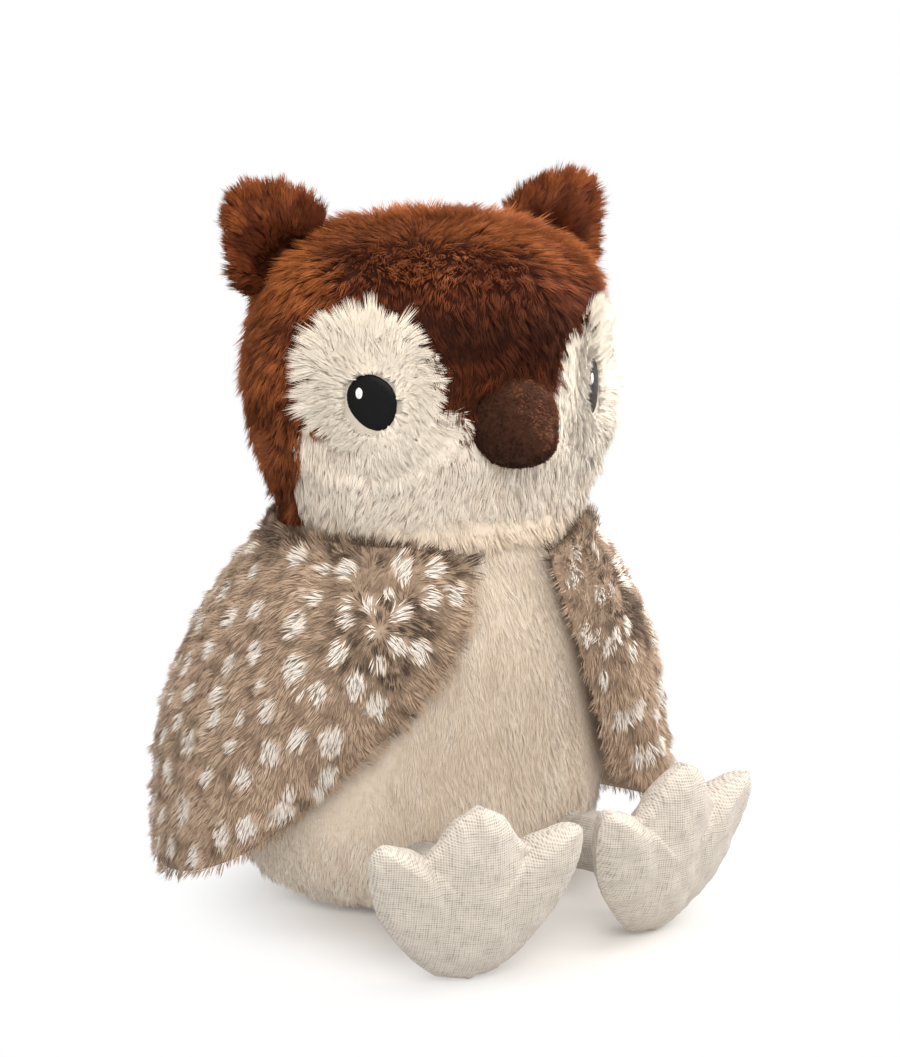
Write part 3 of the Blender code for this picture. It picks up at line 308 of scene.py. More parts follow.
def facing_frame(place, side):
    """Origin and axes (across, up, outward) of a feature of the face."""
    azimuth, tilt = place["azimuth"] - side * place.get("skew", 0.0), place["tilt"]
    outward = np.array((side * math.sin(azimuth) * math.cos(tilt), -math.cos(azimuth) * math.cos(tilt),
                        math.sin(tilt)))
    across = unit(np.cross((0.0, 0.0, 1.0), outward))
    axes = np.array((across, np.cross(outward, across), outward))
    return np.array((0.0, NECK[1] - HEAD_FORWARD, place["height"])), axes


def in_frame(points, place, side):
    """Points as seen from a feature of the face: across, up and outward."""
    origin, axes = facing_frame(place, side)
    return (points - origin) @ axes.T


def oval_share(local, half):
    """Distance from the middle of an oval, as a share of its half width and height."""
    return np.hypot(local[..., 0] / half[0], local[..., 1] / half[1])


class Skin:
    """A grid of points over a piece, rows upward and columns round it, with the normal at each."""

    def __init__(self, grid, closed=True):
        self.grid = grid
        self.closed = closed
        if closed:
            across = np.roll(grid, -1, 1) - np.roll(grid, 1, 1)
        else:
            across = np.gradient(grid, axis=1)
        normals = unit(np.cross(across, np.gradient(grid, axis=0)))
        for row, near in ((0, 1), (-1, -2)):
            if np.ptp(grid[row], axis=0).max() < 1e-6:
                normals[row] = unit(normals[near].mean(axis=0))
        self.normals = normals

    def sunk(self, depth):
        """The same skin, deeper; depth is one number or one for each point."""
        depth = np.asarray(depth, float)
        if depth.ndim:
            depth = depth[..., None]
        return Skin(self.grid - self.normals * depth, self.closed)

    def scatter(self, rng, count, chance=None):
        """Random places: points, normals, and the row and column of each."""
        grid, normals = self.grid, self.normals
        if self.closed:
            grid = np.concatenate((grid, grid[:, :1]), axis=1)
            normals = np.concatenate((normals, normals[:, :1]), axis=1)
        corners = (grid[:-1, :-1], grid[:-1, 1:], grid[1:, 1:], grid[1:, :-1])
        weight = np.linalg.norm(np.cross(corners[2] - corners[0], corners[3] - corners[1]), axis=2)
        if chance is not None:
            weight = weight * chance(sum(corners) / 4.0)
        cell = rng.choice(weight.size, count, p=(weight / weight.sum()).ravel())
        row, column = np.divmod(cell, weight.shape[1])
        v, u = rng.random(count), rng.random(count)
        found = []
        for field in (grid, normals):
            low = mix(field[row, column], field[row, column + 1], u[:, None])
            high = mix(field[row + 1, column], field[row + 1, column + 1], u[:, None])
            found.append(mix(low, high, v[:, None]))
        return found[0], unit(found[1]), row + v, column + u


def add_mesh(name, points, loops, sizes, material, uv=None, uv_name="Cloth", normals=None):
    """A mesh from points in millimetres, its faces' corners in a row and each face's number of corners."""
    mesh = bpy.data.meshes.new(name)
    mesh.vertices.add(len(points))
    mesh.vertices.foreach_set("co", (np.asarray(points) * MM).astype(np.float32).ravel())
    mesh.loops.add(len(loops))
    mesh.polygons.add(len(sizes))
    mesh.polygons.foreach_set("loop_start", np.concatenate(((0,), np.cumsum(sizes)[:-1])).astype(np.int32))
    mesh.polygons.foreach_set("vertices", np.asarray(loops, np.int32))
    mesh.polygons.foreach_set("use_smooth", np.ones(len(sizes), bool))
    if uv is not None:
        mesh.uv_layers.new(name=uv_name).uv.foreach_set("vector", np.asarray(uv, np.float32).ravel())
    mesh.update(calc_edges=True)
    if normals is not None:
        mesh.attributes.new("custom_normal", "FLOAT_VECTOR", "POINT").data.foreach_set(
            "vector", np.asarray(normals, np.float32).ravel())
    mesh.materials.append(material)
    item = bpy.data.objects.new(name, mesh)
    bpy.context.scene.collection.objects.link(item)
    return item


def add_skin(name, skin, material, uv=None):
    """A closed mesh over a skin. A row whose points all meet becomes one point. uv is a grid like it."""
    grid = skin.grid
    rows, columns = grid.shape[:2]
    ends = [np.ptp(grid[row], axis=0).max() < 1e-6 for row in (0, -1)]
    index = np.arange(rows * columns).reshape(rows, columns)
    points = grid.reshape(-1, 3)
    loops, sizes, spots = [], [], []
    flat = None if uv is None else np.concatenate((uv, uv[:, :1]), axis=1) if skin.closed else uv
    last = columns if skin.closed else columns - 1
    for r in range(rows - 1):
        for c in range(last):
            d = (c + 1) % columns
            corners = [(r, c, c), (r, d, c + 1), (r + 1, d, c + 1), (r + 1, c, c)]
            if r == 0 and ends[0]:
                corners = [(0, 0, c)] + corners[2:]
            elif r == rows - 2 and ends[1]:
                corners = corners[:2] + [(rows - 1, 0, c)]
            loops += [index[i, j] for i, j, _ in corners]
            sizes.append(len(corners))
            if flat is not None:
                spots += [flat[i, k] for i, _, k in corners]
    used = np.unique(loops)
    renumber = np.zeros(len(points), int)
    renumber[used] = np.arange(len(used))
    return add_mesh(name, points[used], renumber[np.array(loops)], np.array(sizes), material,
                    np.array(spots) if flat is not None else None)


def turned_grid(curve, columns):
    """Rings of a turned curve of (radius, height)."""
    angle = np.linspace(0.0, 2.0 * math.pi, columns, endpoint=False)
    ring = np.stack((np.cos(angle), np.sin(angle)), axis=1)
    grid = np.empty((len(curve), columns, 3))
    grid[..., :2] = curve[:, None, :1] * ring[None]
    grid[..., 2] = curve[:, None, 1]
    return grid


def neck_arc(radius, angles, columns):
    """Rings about the neck's centre, each at an angle in degrees from straight up."""
    turns = [math.radians(angle) for angle in angles]
    curve = np.array([(radius * math.sin(a), radius * math.cos(a)) for a in turns])
    return turned_grid(curve, columns) + NECK


# Pile


def comb_over(normals, direction):
    """The part of a direction that lies along the cloth."""
    return unit(direction - normals * dot(direction, normals))


def nearest_of(points, centres):
    """Which of the centres is nearest to each point."""
    tree = KDTree(len(centres))
    for i, centre in enumerate(centres):
        tree.insert(centre, i)
    tree.balance()
    return np.array([tree.find(p)[1] for p in points])


def lock_template(segments):
    """Corners, face sizes and (side, level) map places of one closed lock.

    One segment is a three-sided pyramid. More are a spindle: a point at the root, rings of three and a tip.
    """
    corners, sizes, places = [], [], []

    def face(names, spots):
        corners.extend(names)
        sizes.append(len(names))
        places.extend(spots)

    if segments == 1:
        face((2, 1, 0), ((-1.0, 0.0), (1.0, 0.0), (0.0, 0.04)))
        for k in range(3):
            face((k, (k + 1) % 3, 3), ((-1.0, 0.0), (1.0, 0.0), (0.0, 1.0)))
        return np.array(corners), np.array(sizes), np.array(places)
    tip = (segments - 1) * 3 + 1
    first, last = 1.0 / segments, (segments - 1.0) / segments
    for k in range(3):
        a, b = 1 + k, 1 + (k + 1) % 3
        face((0, b, a), ((0.0, 0.0), (1.0, first), (-1.0, first)))
        for ring in range(segments - 2):
            low, high = (ring + 1.0) / segments, (ring + 2.0) / segments
            face((a, b, b + 3, a + 3), ((-1.0, low), (1.0, low), (1.0, high), (-1.0, high)))
            a, b = a + 3, b + 3
        face((a, b, tip), ((-1.0, last), (1.0, last), (0.0, 1.0)))
    return np.array(corners), np.array(sizes), np.array(places)


def grow(name, material, roots, normals, comb, length, lift, tint, seed, width=None, segments=2, clump=9,
         pull=0.5, stray=0.25, droop=0.6, place=None, floor=True, soft=0.6, facing=None):
    """Locks of pile: each rises at its lift, lies over along the comb and leans to its neighbours.

    Pile lets light through, so soft is how far a lock is shaded as the cloth under it would be, or as a
    surface that faces the way given as facing.
    """
    rng = np.random.default_rng(seed)
    count = len(roots)
    width = bpy.context.scene.owl_sizes.strand / MM if width is None else width
    leaders = rng.choice(count, max(count // clump, 1), replace=False)
    group = nearest_of(roots, roots[leaders])
    turn = (rng.normal(0.0, stray, len(leaders))[group] + rng.normal(0.0, stray * 0.5, count))[:, None]
    heading = comb * np.cos(turn) + np.cross(normals, comb) * np.sin(turn)
    lift = lift + rng.normal(0.0, 0.13, len(leaders))[group] + rng.normal(0.0, 0.07, count)
    length = length * (1.0 + rng.normal(0.0, 0.10, len(leaders))[group] + rng.normal(0.0, 0.09, count))
    tint = tint + rng.normal(0.0, 0.035, len(leaders))[group] + rng.normal(0.0, 0.03, count)
    tint = np.clip(tint, 0.02, 0.98)
    line = [roots - normals * 0.4]
    for i in range(segments):
        angle = (lift * (1.0 - droop * i / segments))[:, None]
        rise = heading * np.cos(angle) + normals * np.sin(angle)
        line.append(line[-1] + rise * length[:, None] / segments)
    line = np.array(line)
    led = line[:, leaders][:, group]
    for i in range(1, segments + 1):
        line[i] += (led[i] - line[i]) * pull * (i / segments) ** 1.4
    if floor:
        line[..., 2] = np.maximum(line[..., 2], FLOOR_GAP + 0.2)
    if place is not None:
        line = place(line)
        facing = normals if facing is None else facing
        facing = place(roots + facing) - place(roots)
        normals = place(roots + normals) - place(roots)
    facing = normals if facing is None else facing
    rings, shades = [], []
    spin = math.pi / 6.0 + rng.normal(0.0, 0.35, count)
    if segments > 1:
        rings.append(line[0])
        shades.append(facing)
    for i in range(min(1, segments - 1), segments):
        ahead = unit(line[min(i + 1, segments)] - line[max(i - 1, 0)])
        side = unit(np.cross(normals + 1e-4, ahead))
        over = np.cross(ahead, side)
        size = (np.broadcast_to(width, count) * 0.5 * (1.0 - 0.30 * (i / segments)))[:, None]
        for k in range(3):
            angle = (spin + k * 2.0 * math.pi / 3.0)[:, None]
            radial = side * np.cos(angle) + over * np.sin(angle)
            rings.append(line[i] + (side * np.cos(angle) + over * np.sin(angle) * 0.7) * size)
            shades.append(unit(mix(radial, facing, soft)))
    rings.append(line[segments])
    shades.append(facing)
    points = np.stack(rings, axis=1).reshape(-1, 3)
    if floor:
        points[:, 2] = np.maximum(points[:, 2], FLOOR_GAP)
    corners, sizes, places = lock_template(segments)
    step = 4 if segments == 1 else segments * 3 - 1
    loops = (corners[None] + (np.arange(count) * step)[:, None]).ravel()
    uv = np.empty((count, len(corners), 2))
    uv[..., 0] = tint[:, None] + places[None, :, 0] / 128.0
    uv[..., 1] = mix(0.01, 0.99, places[None, :, 1])
    uv = np.clip(uv.reshape(-1, 2), 0.0, 1.0)
    shades = np.stack(shades, axis=1)
    return add_mesh(name, points, loops, np.tile(sizes, count), material, uv, "OFBake", shades)


# Materials


def start_material(name, roughness, sheen=0.0, glow=(1.0, 1.0, 1.0), gloss=0.15):
    material = bpy.data.materials.new(name)
    material.use_nodes = True
    shader = material.node_tree.nodes["Principled BSDF"]
    shader.inputs["Roughness"].default_value = roughness
    shader.inputs["Specular IOR Level"].default_value = gloss
    shader.inputs["Sheen Weight"].default_value = sheen
    shader.inputs["Sheen Roughness"].default_value = 0.4
    shader.inputs["Sheen Tint"].default_value = tuple(glow) + (1.0,)
    return material, material.node_tree.nodes, material.node_tree.links, shader


def map_place(nodes, name):
    """The place on one of a piece's own flat maps."""
    place = nodes.new("ShaderNodeUVMap")
    place.uv_map = name
    return place.outputs["UV"]


def add_bump(nodes, links, shader, height, strength, distance):
    """Raises the surface by a height, at most by a distance in metres."""
    bump = nodes.new("ShaderNodeBump")
    bump.inputs["Strength"].default_value = strength
    bump.inputs["Distance"].default_value = distance
    links.new(height, bump.inputs["Height"])
    links.new(bump.outputs["Normal"], shader.inputs["Normal"])


def ramp_node(nodes, stops):
    """A colour ramp from (place, linear colour) stops."""
    ramp = nodes.new("ShaderNodeValToRGB")
    elements = ramp.color_ramp.elements
    while len(elements) < len(stops):
        elements.new(0.5)
    for element, (place, colour) in zip(elements, stops):
        element.position = place
        element.color = tuple(colour) + (1.0,)
    return ramp


def pile_material(name, stops, root, roughness=0.7, sheen=0.08, pale_from=None, glow=(1.0, 1.0, 1.0),
                  gloss=0.15):
    """Pile: the map's first axis is the lock's tint, its second runs from the dark root to the tip."""
    material, nodes, links, shader = start_material(name, roughness, sheen, glow, gloss)
    parts = nodes.new("ShaderNodeSeparateXYZ")
    links.new(map_place(nodes, "OFBake"), parts.inputs["Vector"])
    ramp = ramp_node(nodes, stops)
    links.new(parts.outputs["X"], ramp.inputs["Fac"])
    shade = nodes.new("ShaderNodeMapRange")
    shade.interpolation_type = "SMOOTHSTEP"
    shade.inputs["From Max"].default_value = 0.8
    shade.inputs["To Min"].default_value = root
    shade.inputs["To Max"].default_value = 1.0
    links.new(parts.outputs["Y"], shade.inputs["Value"])
    if pale_from:
        pale = nodes.new("ShaderNodeMapRange")
        pale.inputs["From Min"].default_value = pale_from - 0.06
        pale.inputs["From Max"].default_value = pale_from
        pale.inputs["To Min"].default_value = root
        pale.inputs["To Max"].default_value = 0.94
        links.new(parts.outputs["X"], pale.inputs["Value"])
        links.new(pale.outputs["Result"], shade.inputs["To Min"])
    scale = nodes.new("ShaderNodeVectorMath")
    scale.operation = "SCALE"
    links.new(ramp.outputs["Color"], scale.inputs[0])
    links.new(shade.outputs["Result"], scale.inputs["Scale"])
    links.new(scale.outputs["Vector"], shader.inputs["Base Color"])
    return material


def cloth_material(name, colour, spread=0.12, scale=600.0, pale=None):
    """Backing cloth under the pile, a little uneven."""
    material, nodes, links, shader = start_material(name, 0.9)
    where = nodes.new("ShaderNodeTexCoord")
    noise = nodes.new("ShaderNodeTexNoise")
    noise.inputs["Scale"].default_value = scale
    links.new(where.outputs["Object"], noise.inputs["Vector"])
    low = [c * (1.0 - spread) for c in colour]
    high = [min(c * (1.0 + spread), 1.0) for c in colour]
    ramp = ramp_node(nodes, ((0.3, low), (0.7, high)))
    links.new(noise.outputs["Fac"], ramp.inputs["Fac"])
    if pale is None:
        links.new(ramp.outputs["Color"], shader.inputs["Base Color"])
        return material
    spots = nodes.new("ShaderNodeAttribute")
    spots.attribute_name = "Pale"
    over = nodes.new("ShaderNodeMix")
    over.data_type = "RGBA"
    over.inputs["B"].default_value = tuple(pale) + (1.0,)
    links.new(spots.outputs["Fac"], over.inputs["Factor"])
    links.new(ramp.outputs["Color"], over.inputs["A"])
    links.new(over.outputs["Result"], shader.inputs["Base Color"])
    return material


def times(colour, factor):
    return tuple(min(c * factor, 1.0) for c in colour)


def materials():
    """All the materials, made once."""
    if "owl_brown" in bpy.data.materials:
        return
    c = bpy.context.scene.owl_colours
    brown = ((0.0, c.brown_dark), (0.45, c.brown), (1.0, c.brown_light))
    cream = ((0.0, c.cream_dark), (0.5, c.cream), (1.0, c.cream_light))
    disc = ((0.0, c.cream), (0.5, c.disc), (1.0, times(c.disc, 1.14)))
    wing = ((0.0, c.wing_dark), (0.35, c.wing), (0.60, c.wing_light), (0.80, c.spot), (1.0, c.spot))
    # the beak's ramp runs from its painted shade to its painted highlight, as its nap is painted by how it
    # faces the light
    beak = ((0.0, times(c.beak, 0.55)), (0.5, times(c.beak, 1.1)), (1.0, times(c.beak, 3.0)))
    pile_material("owl_brown", brown, 0.46, 0.6, 0.5, glow=c.brown_light, gloss=0.08)
    pile_material("owl_cream", cream, 0.90)
    pile_material("owl_disc", disc, 0.95)
    pile_material("owl_wing", wing, 0.78, 0.6, 0.15, 0.72, c.wing_light)
    pile_material("owl_beak", beak, 0.7, 0.6, 0.2, glow=c.brown_light)
    cloth_material("owl_brown_cloth", times(c.brown, 0.35))
    cloth_material("owl_cream_cloth", times(c.cream, 0.78), 0.05)
    cloth_material("owl_disc_cloth", times(c.disc, 0.93), 0.04)
    # painted shade: a darker copy of the disc cloth, for the ring beside each eye at the foot of the pile
    cloth_material("owl_disc_cloth_painted_shade", times(c.disc, 0.56), 0.04)
    cloth_material("owl_wing_cloth", times(c.wing, 0.62), pale=times(c.spot, 0.9))
    cloth_material("owl_beak_cloth", times(c.beak, 0.6))
    linen_material("owl_linen", c.linen, bpy.context.scene.owl_sizes.thread / MM)
    # painted shade: a darker copy of the linen for the legs, which sit in shade under the belly
    linen_material("owl_linen_painted_shade", times(c.linen, 0.78), bpy.context.scene.owl_sizes.thread / MM)
    thread_material("owl_eye_thread", c.thread, 0.42)
    thread_material("owl_mark_thread", srgb(232, 230, 226), 0.6)


def thread_wave(nodes, links, source, axis, pitch, uneven):
    """Ridges of thread across one axis of the cloth's map, some thicker than others."""
    wave = nodes.new("ShaderNodeTexWave")
    wave.bands_direction = axis
    wave.inputs["Scale"].default_value = math.pi / (10.0 * pitch)
    wave.inputs["Distortion"].default_value = uneven
    wave.inputs["Detail"].default_value = 1.0
    wave.inputs["Detail Scale"].default_value = 0.25
    links.new(source, wave.inputs["Vector"])
    return wave.outputs["Fac"]


def stretched_noise(nodes, links, source, stretch, scale, detail=2.0):
    mapping = nodes.new("ShaderNodeMapping")
    mapping.inputs["Scale"].default_value = stretch
    links.new(source, mapping.inputs["Vector"])
    noise = nodes.new("ShaderNodeTexNoise")
    noise.inputs["Scale"].default_value = scale
    noise.inputs["Detail"].default_value = detail
    links.new(mapping.outputs["Vector"], noise.inputs["Vector"])
    return noise.outputs["Fac"]


def maths(nodes, links, operation, *values):
    node = nodes.new("ShaderNodeMath")
    node.operation = operation
    for socket, value in zip(node.inputs, values):
        if isinstance(value, (int, float)):
            socket.default_value = value
        else:
            links.new(value, socket)
    return node.outputs["Value"]


def linen_material(name, colour, pitch):
    """Plain weave on the cloth's own flat map, in millimetres, with slubs and darker flecks."""
    material, nodes, links, shader = start_material(name, 0.85, 0.1)
    source = map_place(nodes, "Cloth")
    warp = thread_wave(nodes, links, source, "X", pitch, 1.6)
    weft = thread_wave(nodes, links, source, "Y", pitch, 1.6)
    weave = maths(nodes, links, "MULTIPLY", warp, weft)
    over = maths(nodes, links, "MAXIMUM", warp, weft)
    weave = maths(nodes, links, "ADD", maths(nodes, links, "MULTIPLY", over, 0.7),
                  maths(nodes, links, "MULTIPLY", weave, 0.3))
    slub_x = stretched_noise(nodes, links, source, (1.1, 0.16, 1.0), 1.0)
    slub_y = stretched_noise(nodes, links, source, (0.16, 1.1, 1.0), 1.0)
    fleck = stretched_noise(nodes, links, source, (1.0, 1.0, 1.0), 1.6, 4.0)
    slub = maths(nodes, links, "ADD", slub_x, slub_y)
    tone = maths(nodes, links, "ADD", maths(nodes, links, "MULTIPLY", slub, 0.46),
                 maths(nodes, links, "ADD", maths(nodes, links, "MULTIPLY", weave, 0.36),
                       maths(nodes, links, "MULTIPLY", fleck, 0.32)))
    stops = ((0.36, 0.30), (0.60, 0.62), (0.72, 0.89), (0.86, 1.15))
    ramp = ramp_node(nodes, [(at, times(colour, factor)) for at, factor in stops])
    links.new(tone, ramp.inputs["Fac"])
    links.new(ramp.outputs["Color"], shader.inputs["Base Color"])
    height = maths(nodes, links, "ADD", weave, maths(nodes, links, "MULTIPLY", slub, 0.5))
    add_bump(nodes, links, shader, height, 0.5, 0.0004)
    return material


def thread_material(name, colour, roughness):
    """Satin stitches, near upright, on the flat map of the patch."""
    material, nodes, links, shader = start_material(name, roughness, 0.0)
    stitch = stretched_noise(nodes, links, map_place(nodes, "Cloth"), (3.2, 0.22, 1.0), 1.0, 3.0)
    ramp = ramp_node(nodes, ((0.3, times(colour, 0.6)), (0.7, times(colour, 1.5))))
    links.new(stitch, ramp.inputs["Fac"])
    links.new(ramp.outputs["Color"], shader.inputs["Base Color"])
    add_bump(nodes, links, shader, stitch, 0.6, 0.0003)
    return material


def material(name):
    materials()
    return bpy.data.materials[name]


# Torso and neck


def torso_curve():
    """Smooth outer curve (radius, height) from the base's edge to the neck opening."""
    points = [(mix(TORSO_BASE, TORSO_WIDTH, w), BALL_TOP * h) for h, w in TORSO_LOW_SHARES]
    edge = BALL * math.sin(BALL_EDGE)
    points += [(mix(edge, TORSO_WIDTH, w), BALL_TOP * h) for h, w in TORSO_HIGH_SHARES]
    for angle in (76.0, 66.5, 57.0):
        points.append((BALL * math.sin(math.radians(angle)), NECK[2] + BALL * math.cos(math.radians(angle))))
    return spline(points, 6)


TORSO_CURVE = torso_curve()


def torso_shift(height):
    return NECK[1] + TORSO_LEAN * smooth((BALL_TOP - height) / (BALL_TOP * 0.62))


def torso_ratio(height):
    return mix(1.0, 0.93, smooth((BALL_TOP - height) / (BALL_TOP * 0.5)))


def torso_warp(grid):
    grid = grid.copy()
    grid[..., 1] = grid[..., 1] * torso_ratio(grid[..., 2]) + torso_shift(grid[..., 2])
    return grid


def torso_radius(height):
    curve = TORSO_CURVE
    ball = np.sqrt(np.maximum(BALL ** 2 - np.minimum(height - NECK[2], BALL) ** 2, 0.0))
    return np.where(height >= BALL_TOP, ball, np.interp(height, curve[:, 1], curve[:, 0]))


def torso_skin(depth):
    return Skin(torso_warp(turned_grid(TORSO_CURVE, 128))).sunk(depth)


def make_torso():
    """The stuffed body under its pile, closed at its base and in the neck."""
    side = torso_skin(0.3).grid
    base = np.empty((3,) + side.shape[1:])
    for row, share in enumerate((0.0, 0.5, 0.97)):
        base[row] = mix(side[0].mean(axis=0), side[0], share)
    base[..., 2] = FLOOR_GAP
    side[..., 2] = np.maximum(side[..., 2], FLOOR_GAP)
    inner = neck_arc(BALL - 6.6, (56.0, 40.0, 22.0, 0.0), side.shape[1])
    body = add_skin("torso_form", Skin(np.concatenate((base, side, inner))), material("owl_cream_cloth"))
    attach(body, "torso")
    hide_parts("torso_stuffing", "pellet_bag", "torso_base")
    inside = neck_arc(BALL - 6.0, (0.0, 20.0, 40.0, 55.5), 72)
    outside = neck_arc(BALL + 0.8, (55.5, 45.0, 30.0, 15.0, 0.0), 72)
    neck = add_skin("neck_form", Skin(np.concatenate((inside, outside))), material("owl_cream_cloth"))
    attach(neck, "neck")
    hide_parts("neck_wad")


def under_wing(points):
    """How far a point of the torso lies under a wing: 1 well under it, 0 outside."""
    total = np.zeros(points.shape[:-1])
    for side, _ in SIDES:
        x = points[..., 0] * side
        y = points[..., 1] - torso_shift(points[..., 2])
        azimuth = np.arctan2(-y, x)
        down = np.clip((140.0 - points[..., 2]) / 122.0, 0.0, 1.0)
        front, rear = wing_edges(side, down)
        inside = smooth((front - azimuth) / 0.12) * smooth((azimuth - rear) / 0.12) * (x > 0.0)
        total = np.maximum(total, inside * smooth((points[..., 2] - 30.0) / 14.0))
    return total


def grow_torso():
    """The cream pile of the body, combed down, in the panels it is sewn from."""
    sizes = bpy.context.scene.owl_sizes
    skin = torso_skin(0.1)
    back_locks = int(sizes.body_locks * BODY_BACK_SHARE)
    panels = (
        ("torso_front", lambda p: p[..., 1] < 0.0, sizes.body_locks, 11),
        ("torso_back_left", lambda p: (p[..., 1] >= 0.0) & (p[..., 0] >= 0.0), back_locks, 12),
        ("torso_back_right", lambda p: (p[..., 1] >= 0.0) & (p[..., 0] < 0.0), back_locks, 13))
    for node, inside, count, seed in panels:
        rng = np.random.default_rng(seed)
        roots, normals, _, _ = skin.scatter(rng, count, lambda p: inside(p) * mix(1.0, 0.45, under_wing(p)))
        covered = under_wing(roots)
        streak = ripple(roots * (1.0, 1.0, 0.22), 9.0, 3)
        comb = comb_over(normals, DOWN + np.stack(
            (0.12 * ripple(roots, 26.0, 4), 0.12 * ripple(roots, 26.0, 5), np.zeros(count)), axis=1))
        length = sizes.body_pile / MM * mix(1.0, 0.42, covered) * (1.0 + 0.10 * ripple(roots, 12.0, 6))
        length = length * mix(0.55, 1.0, smooth(roots[:, 2] / 8.0))
        lift = 0.42 + 0.08 * streak
        low = smooth((60.0 - roots[:, 2]) / 60.0)
        tint = 0.46 + 0.08 * streak + 0.06 * ripple(roots, 30.0, 7) + 0.34 * low
        pile = grow(node + "_pile", material("owl_cream"), roots, normals, comb, length, lift, tint, seed,
                    segments=1, clump=9, pull=0.25, stray=0.13, width=0.34)
        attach(pile, "torso")
        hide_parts(node)


# Head


def head_curve():
    rim = SOCKET * math.sin(HEAD_RIM), SOCKET * math.cos(HEAD_RIM)
    points = [rim]
    points += [(mix(rim[0], HEAD_WIDTH, w), rim[1] + HEAD_HEIGHT * h) for h, w in HEAD_LOW_SHARES]
    points += [(HEAD_WIDTH * w, rim[1] + HEAD_HEIGHT * h) for h, w in HEAD_HIGH_SHARES]
    points += [(0.0, rim[1] + HEAD_HEIGHT)]
    curve = spline(points, 8)
    curve[-1, 0] = 0.0
    return curve


def head_warp(grid):
    """As the CAD frame: forward a little and flatter in the face, but not at the socket."""
    share = smooth((np.linalg.norm(grid, axis=-1) - SOCKET) / (HEAD_WIDTH * 0.1))
    radius = np.maximum(np.hypot(grid[..., 0], grid[..., 1]), 1e-6)
    below_top = smooth((HEAD_HEIGHT - grid[..., 2]) / (HEAD_HEIGHT * 0.4))
    facing = smooth((-grid[..., 1] / radius - 0.6) / 0.4) * below_top
    flat = 1.0 - 0.10 * facing * share
    forward = grid[..., 1] * flat - HEAD_FORWARD * share
    return np.stack((grid[..., 0] * flat, forward, grid[..., 2]), axis=-1) + NECK


def disc_share(points):
    """Distance from the nearer disc's middle, 1 at its seam, and which side it is on."""
    shares = []
    for side, _ in SIDES:
        local = in_frame(points, DISC, side)
        share = oval_share(local, DISC["half"])
        shares.append(np.where(local[..., 2] > 0.0, share, 9.0))
    return np.minimum(*shares), np.where(shares[0] < shares[1], 1.0, -1.0)


def head_depth(points):
    """How deep the cloth lies under the head's face: deepest in the discs, where the pile is longest."""
    share, _ = disc_share(points)
    depth = mix(3.6, 2.6, smooth((190.0 - points[..., 2]) / 12.0))
    disc = mix(10.6, 4.6, smooth((share - 0.30) / 0.55))
    depth = mix(disc, depth, smooth((share - 0.92) / 0.2))
    return depth * mix(0.35, 1.0, smooth((points[..., 2] - NECK[2] - SOCKET * math.cos(HEAD_RIM)) / 9.0))


HEAD_SKIN = []


def head_skin():
    """The head's cloth, straight ahead, made once."""
    if not HEAD_SKIN:
        outer = Skin(head_warp(turned_grid(head_curve(), 160)))
        HEAD_SKIN.append(outer.sunk(head_depth(outer.grid)))
    return HEAD_SKIN[0]


def make_head():
    """The stuffed head under its pile, closed over the neck socket."""
    grid = head_skin().grid
    socket = neck_arc(SOCKET + 0.5, (0.0, 16.0, 32.0, 46.0, 57.0), grid.shape[1])
    full = turned_head(np.concatenate((socket, grid)))
    item = add_skin("head_form", Skin(full), material("owl_brown_cloth"))
    for name in ("owl_cream_cloth", "owl_disc_cloth", "owl_disc_cloth_painted_shade"):
        item.data.materials.append(material(name))
    faces = item.data.polygons
    centre = np.empty(len(faces) * 3)
    faces.foreach_get("center", centre)
    centre = centre.reshape(-1, 3) / MM
    back = turned_head(centre, -HEAD_TURN)
    # each panel's cloth: brown under the hood, the discs' own, and cream under the chin; beside each eye the
    # disc cloth is darker, as painted shade at the foot of the pile
    finish = np.array((0, 0, 0, 2, 2, 1), np.int32)[panel_of(back)]
    beside_eye = np.maximum(near_eye(back, -1.0), near_eye(back, 1.0)) > 0.5
    faces.foreach_set("material_index", np.where((finish == 2) & beside_eye, 3, finish).astype(np.int32))
    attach(item, "head")
    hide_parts("head_stuffing")


def panel_of(points):
    """Which panel a point of the straight head is on, from CROWN to CHIN."""
    share, side = disc_share(points)
    seam = points[..., 1] - SIDE_SEAM_Y + math.tan(SIDE_SEAM_TILT) * (points[..., 2] - NECK[2] - HEAD_HEIGHT)
    panel = np.where(seam < 0.0, CROWN, np.where(points[..., 0] > 0.0, BACK_LEFT, BACK_RIGHT))
    front = NECK[1] - 9.0 - 13.0 * smooth((points[..., 2] - 166.0) / 14.0)
    chin = (points[..., 2] < 188.0) & (points[..., 1] < front)
    panel = np.where(chin, CHIN, panel)
    local = np.where((side > 0.0)[..., None], in_frame(points, DISC, 1.0), in_frame(points, DISC, -1.0))
    inward = -local[..., 0] * side > 0.0
    sideways = (local[..., 0] / DISC["half"][0] / np.maximum(share, 0.05)) ** 2
    edge = mix(0.63, np.where(inward, 0.66, 0.56), sideways)
    upper = mix(0.50, 0.96, smooth(-2.4 * local[..., 0] / DISC["half"][0]))
    upper = mix(upper, 0.0, smooth((local[..., 1] - 16.0) / 10.0))
    upper = mix(np.maximum(edge, 0.80), upper, smooth((local[..., 1] + 14.0) / 12.0))
    edge = np.where(side > 0.0, upper, edge)
    edge = np.where(inward, mix(edge, 1.0, smooth((-6.0 - local[..., 1]) / 6.0)), edge)
    return np.where(share < edge, np.where(side > 0.0, DISC_LEFT, DISC_RIGHT), panel)


def off_face(points, room=0.0):
    """False on the beak and the eyes, where no pile is sewn."""
    keep = np.ones(points.shape[:-1], bool)
    local = in_frame(points, BEAK, 1.0)
    keep &= (np.hypot(local[..., 0], local[..., 1]) > BEAK["radius"] - 1.5) | (local[..., 2] < 0.0)
    for side, _ in SIDES:
        local = in_frame(points, EYE, side)
        share = oval_share(local, (EYE["half"][0] + room, EYE["half"][1] + room))
        keep &= (share > 0.97) | (local[..., 2] < 0.0)
    return keep


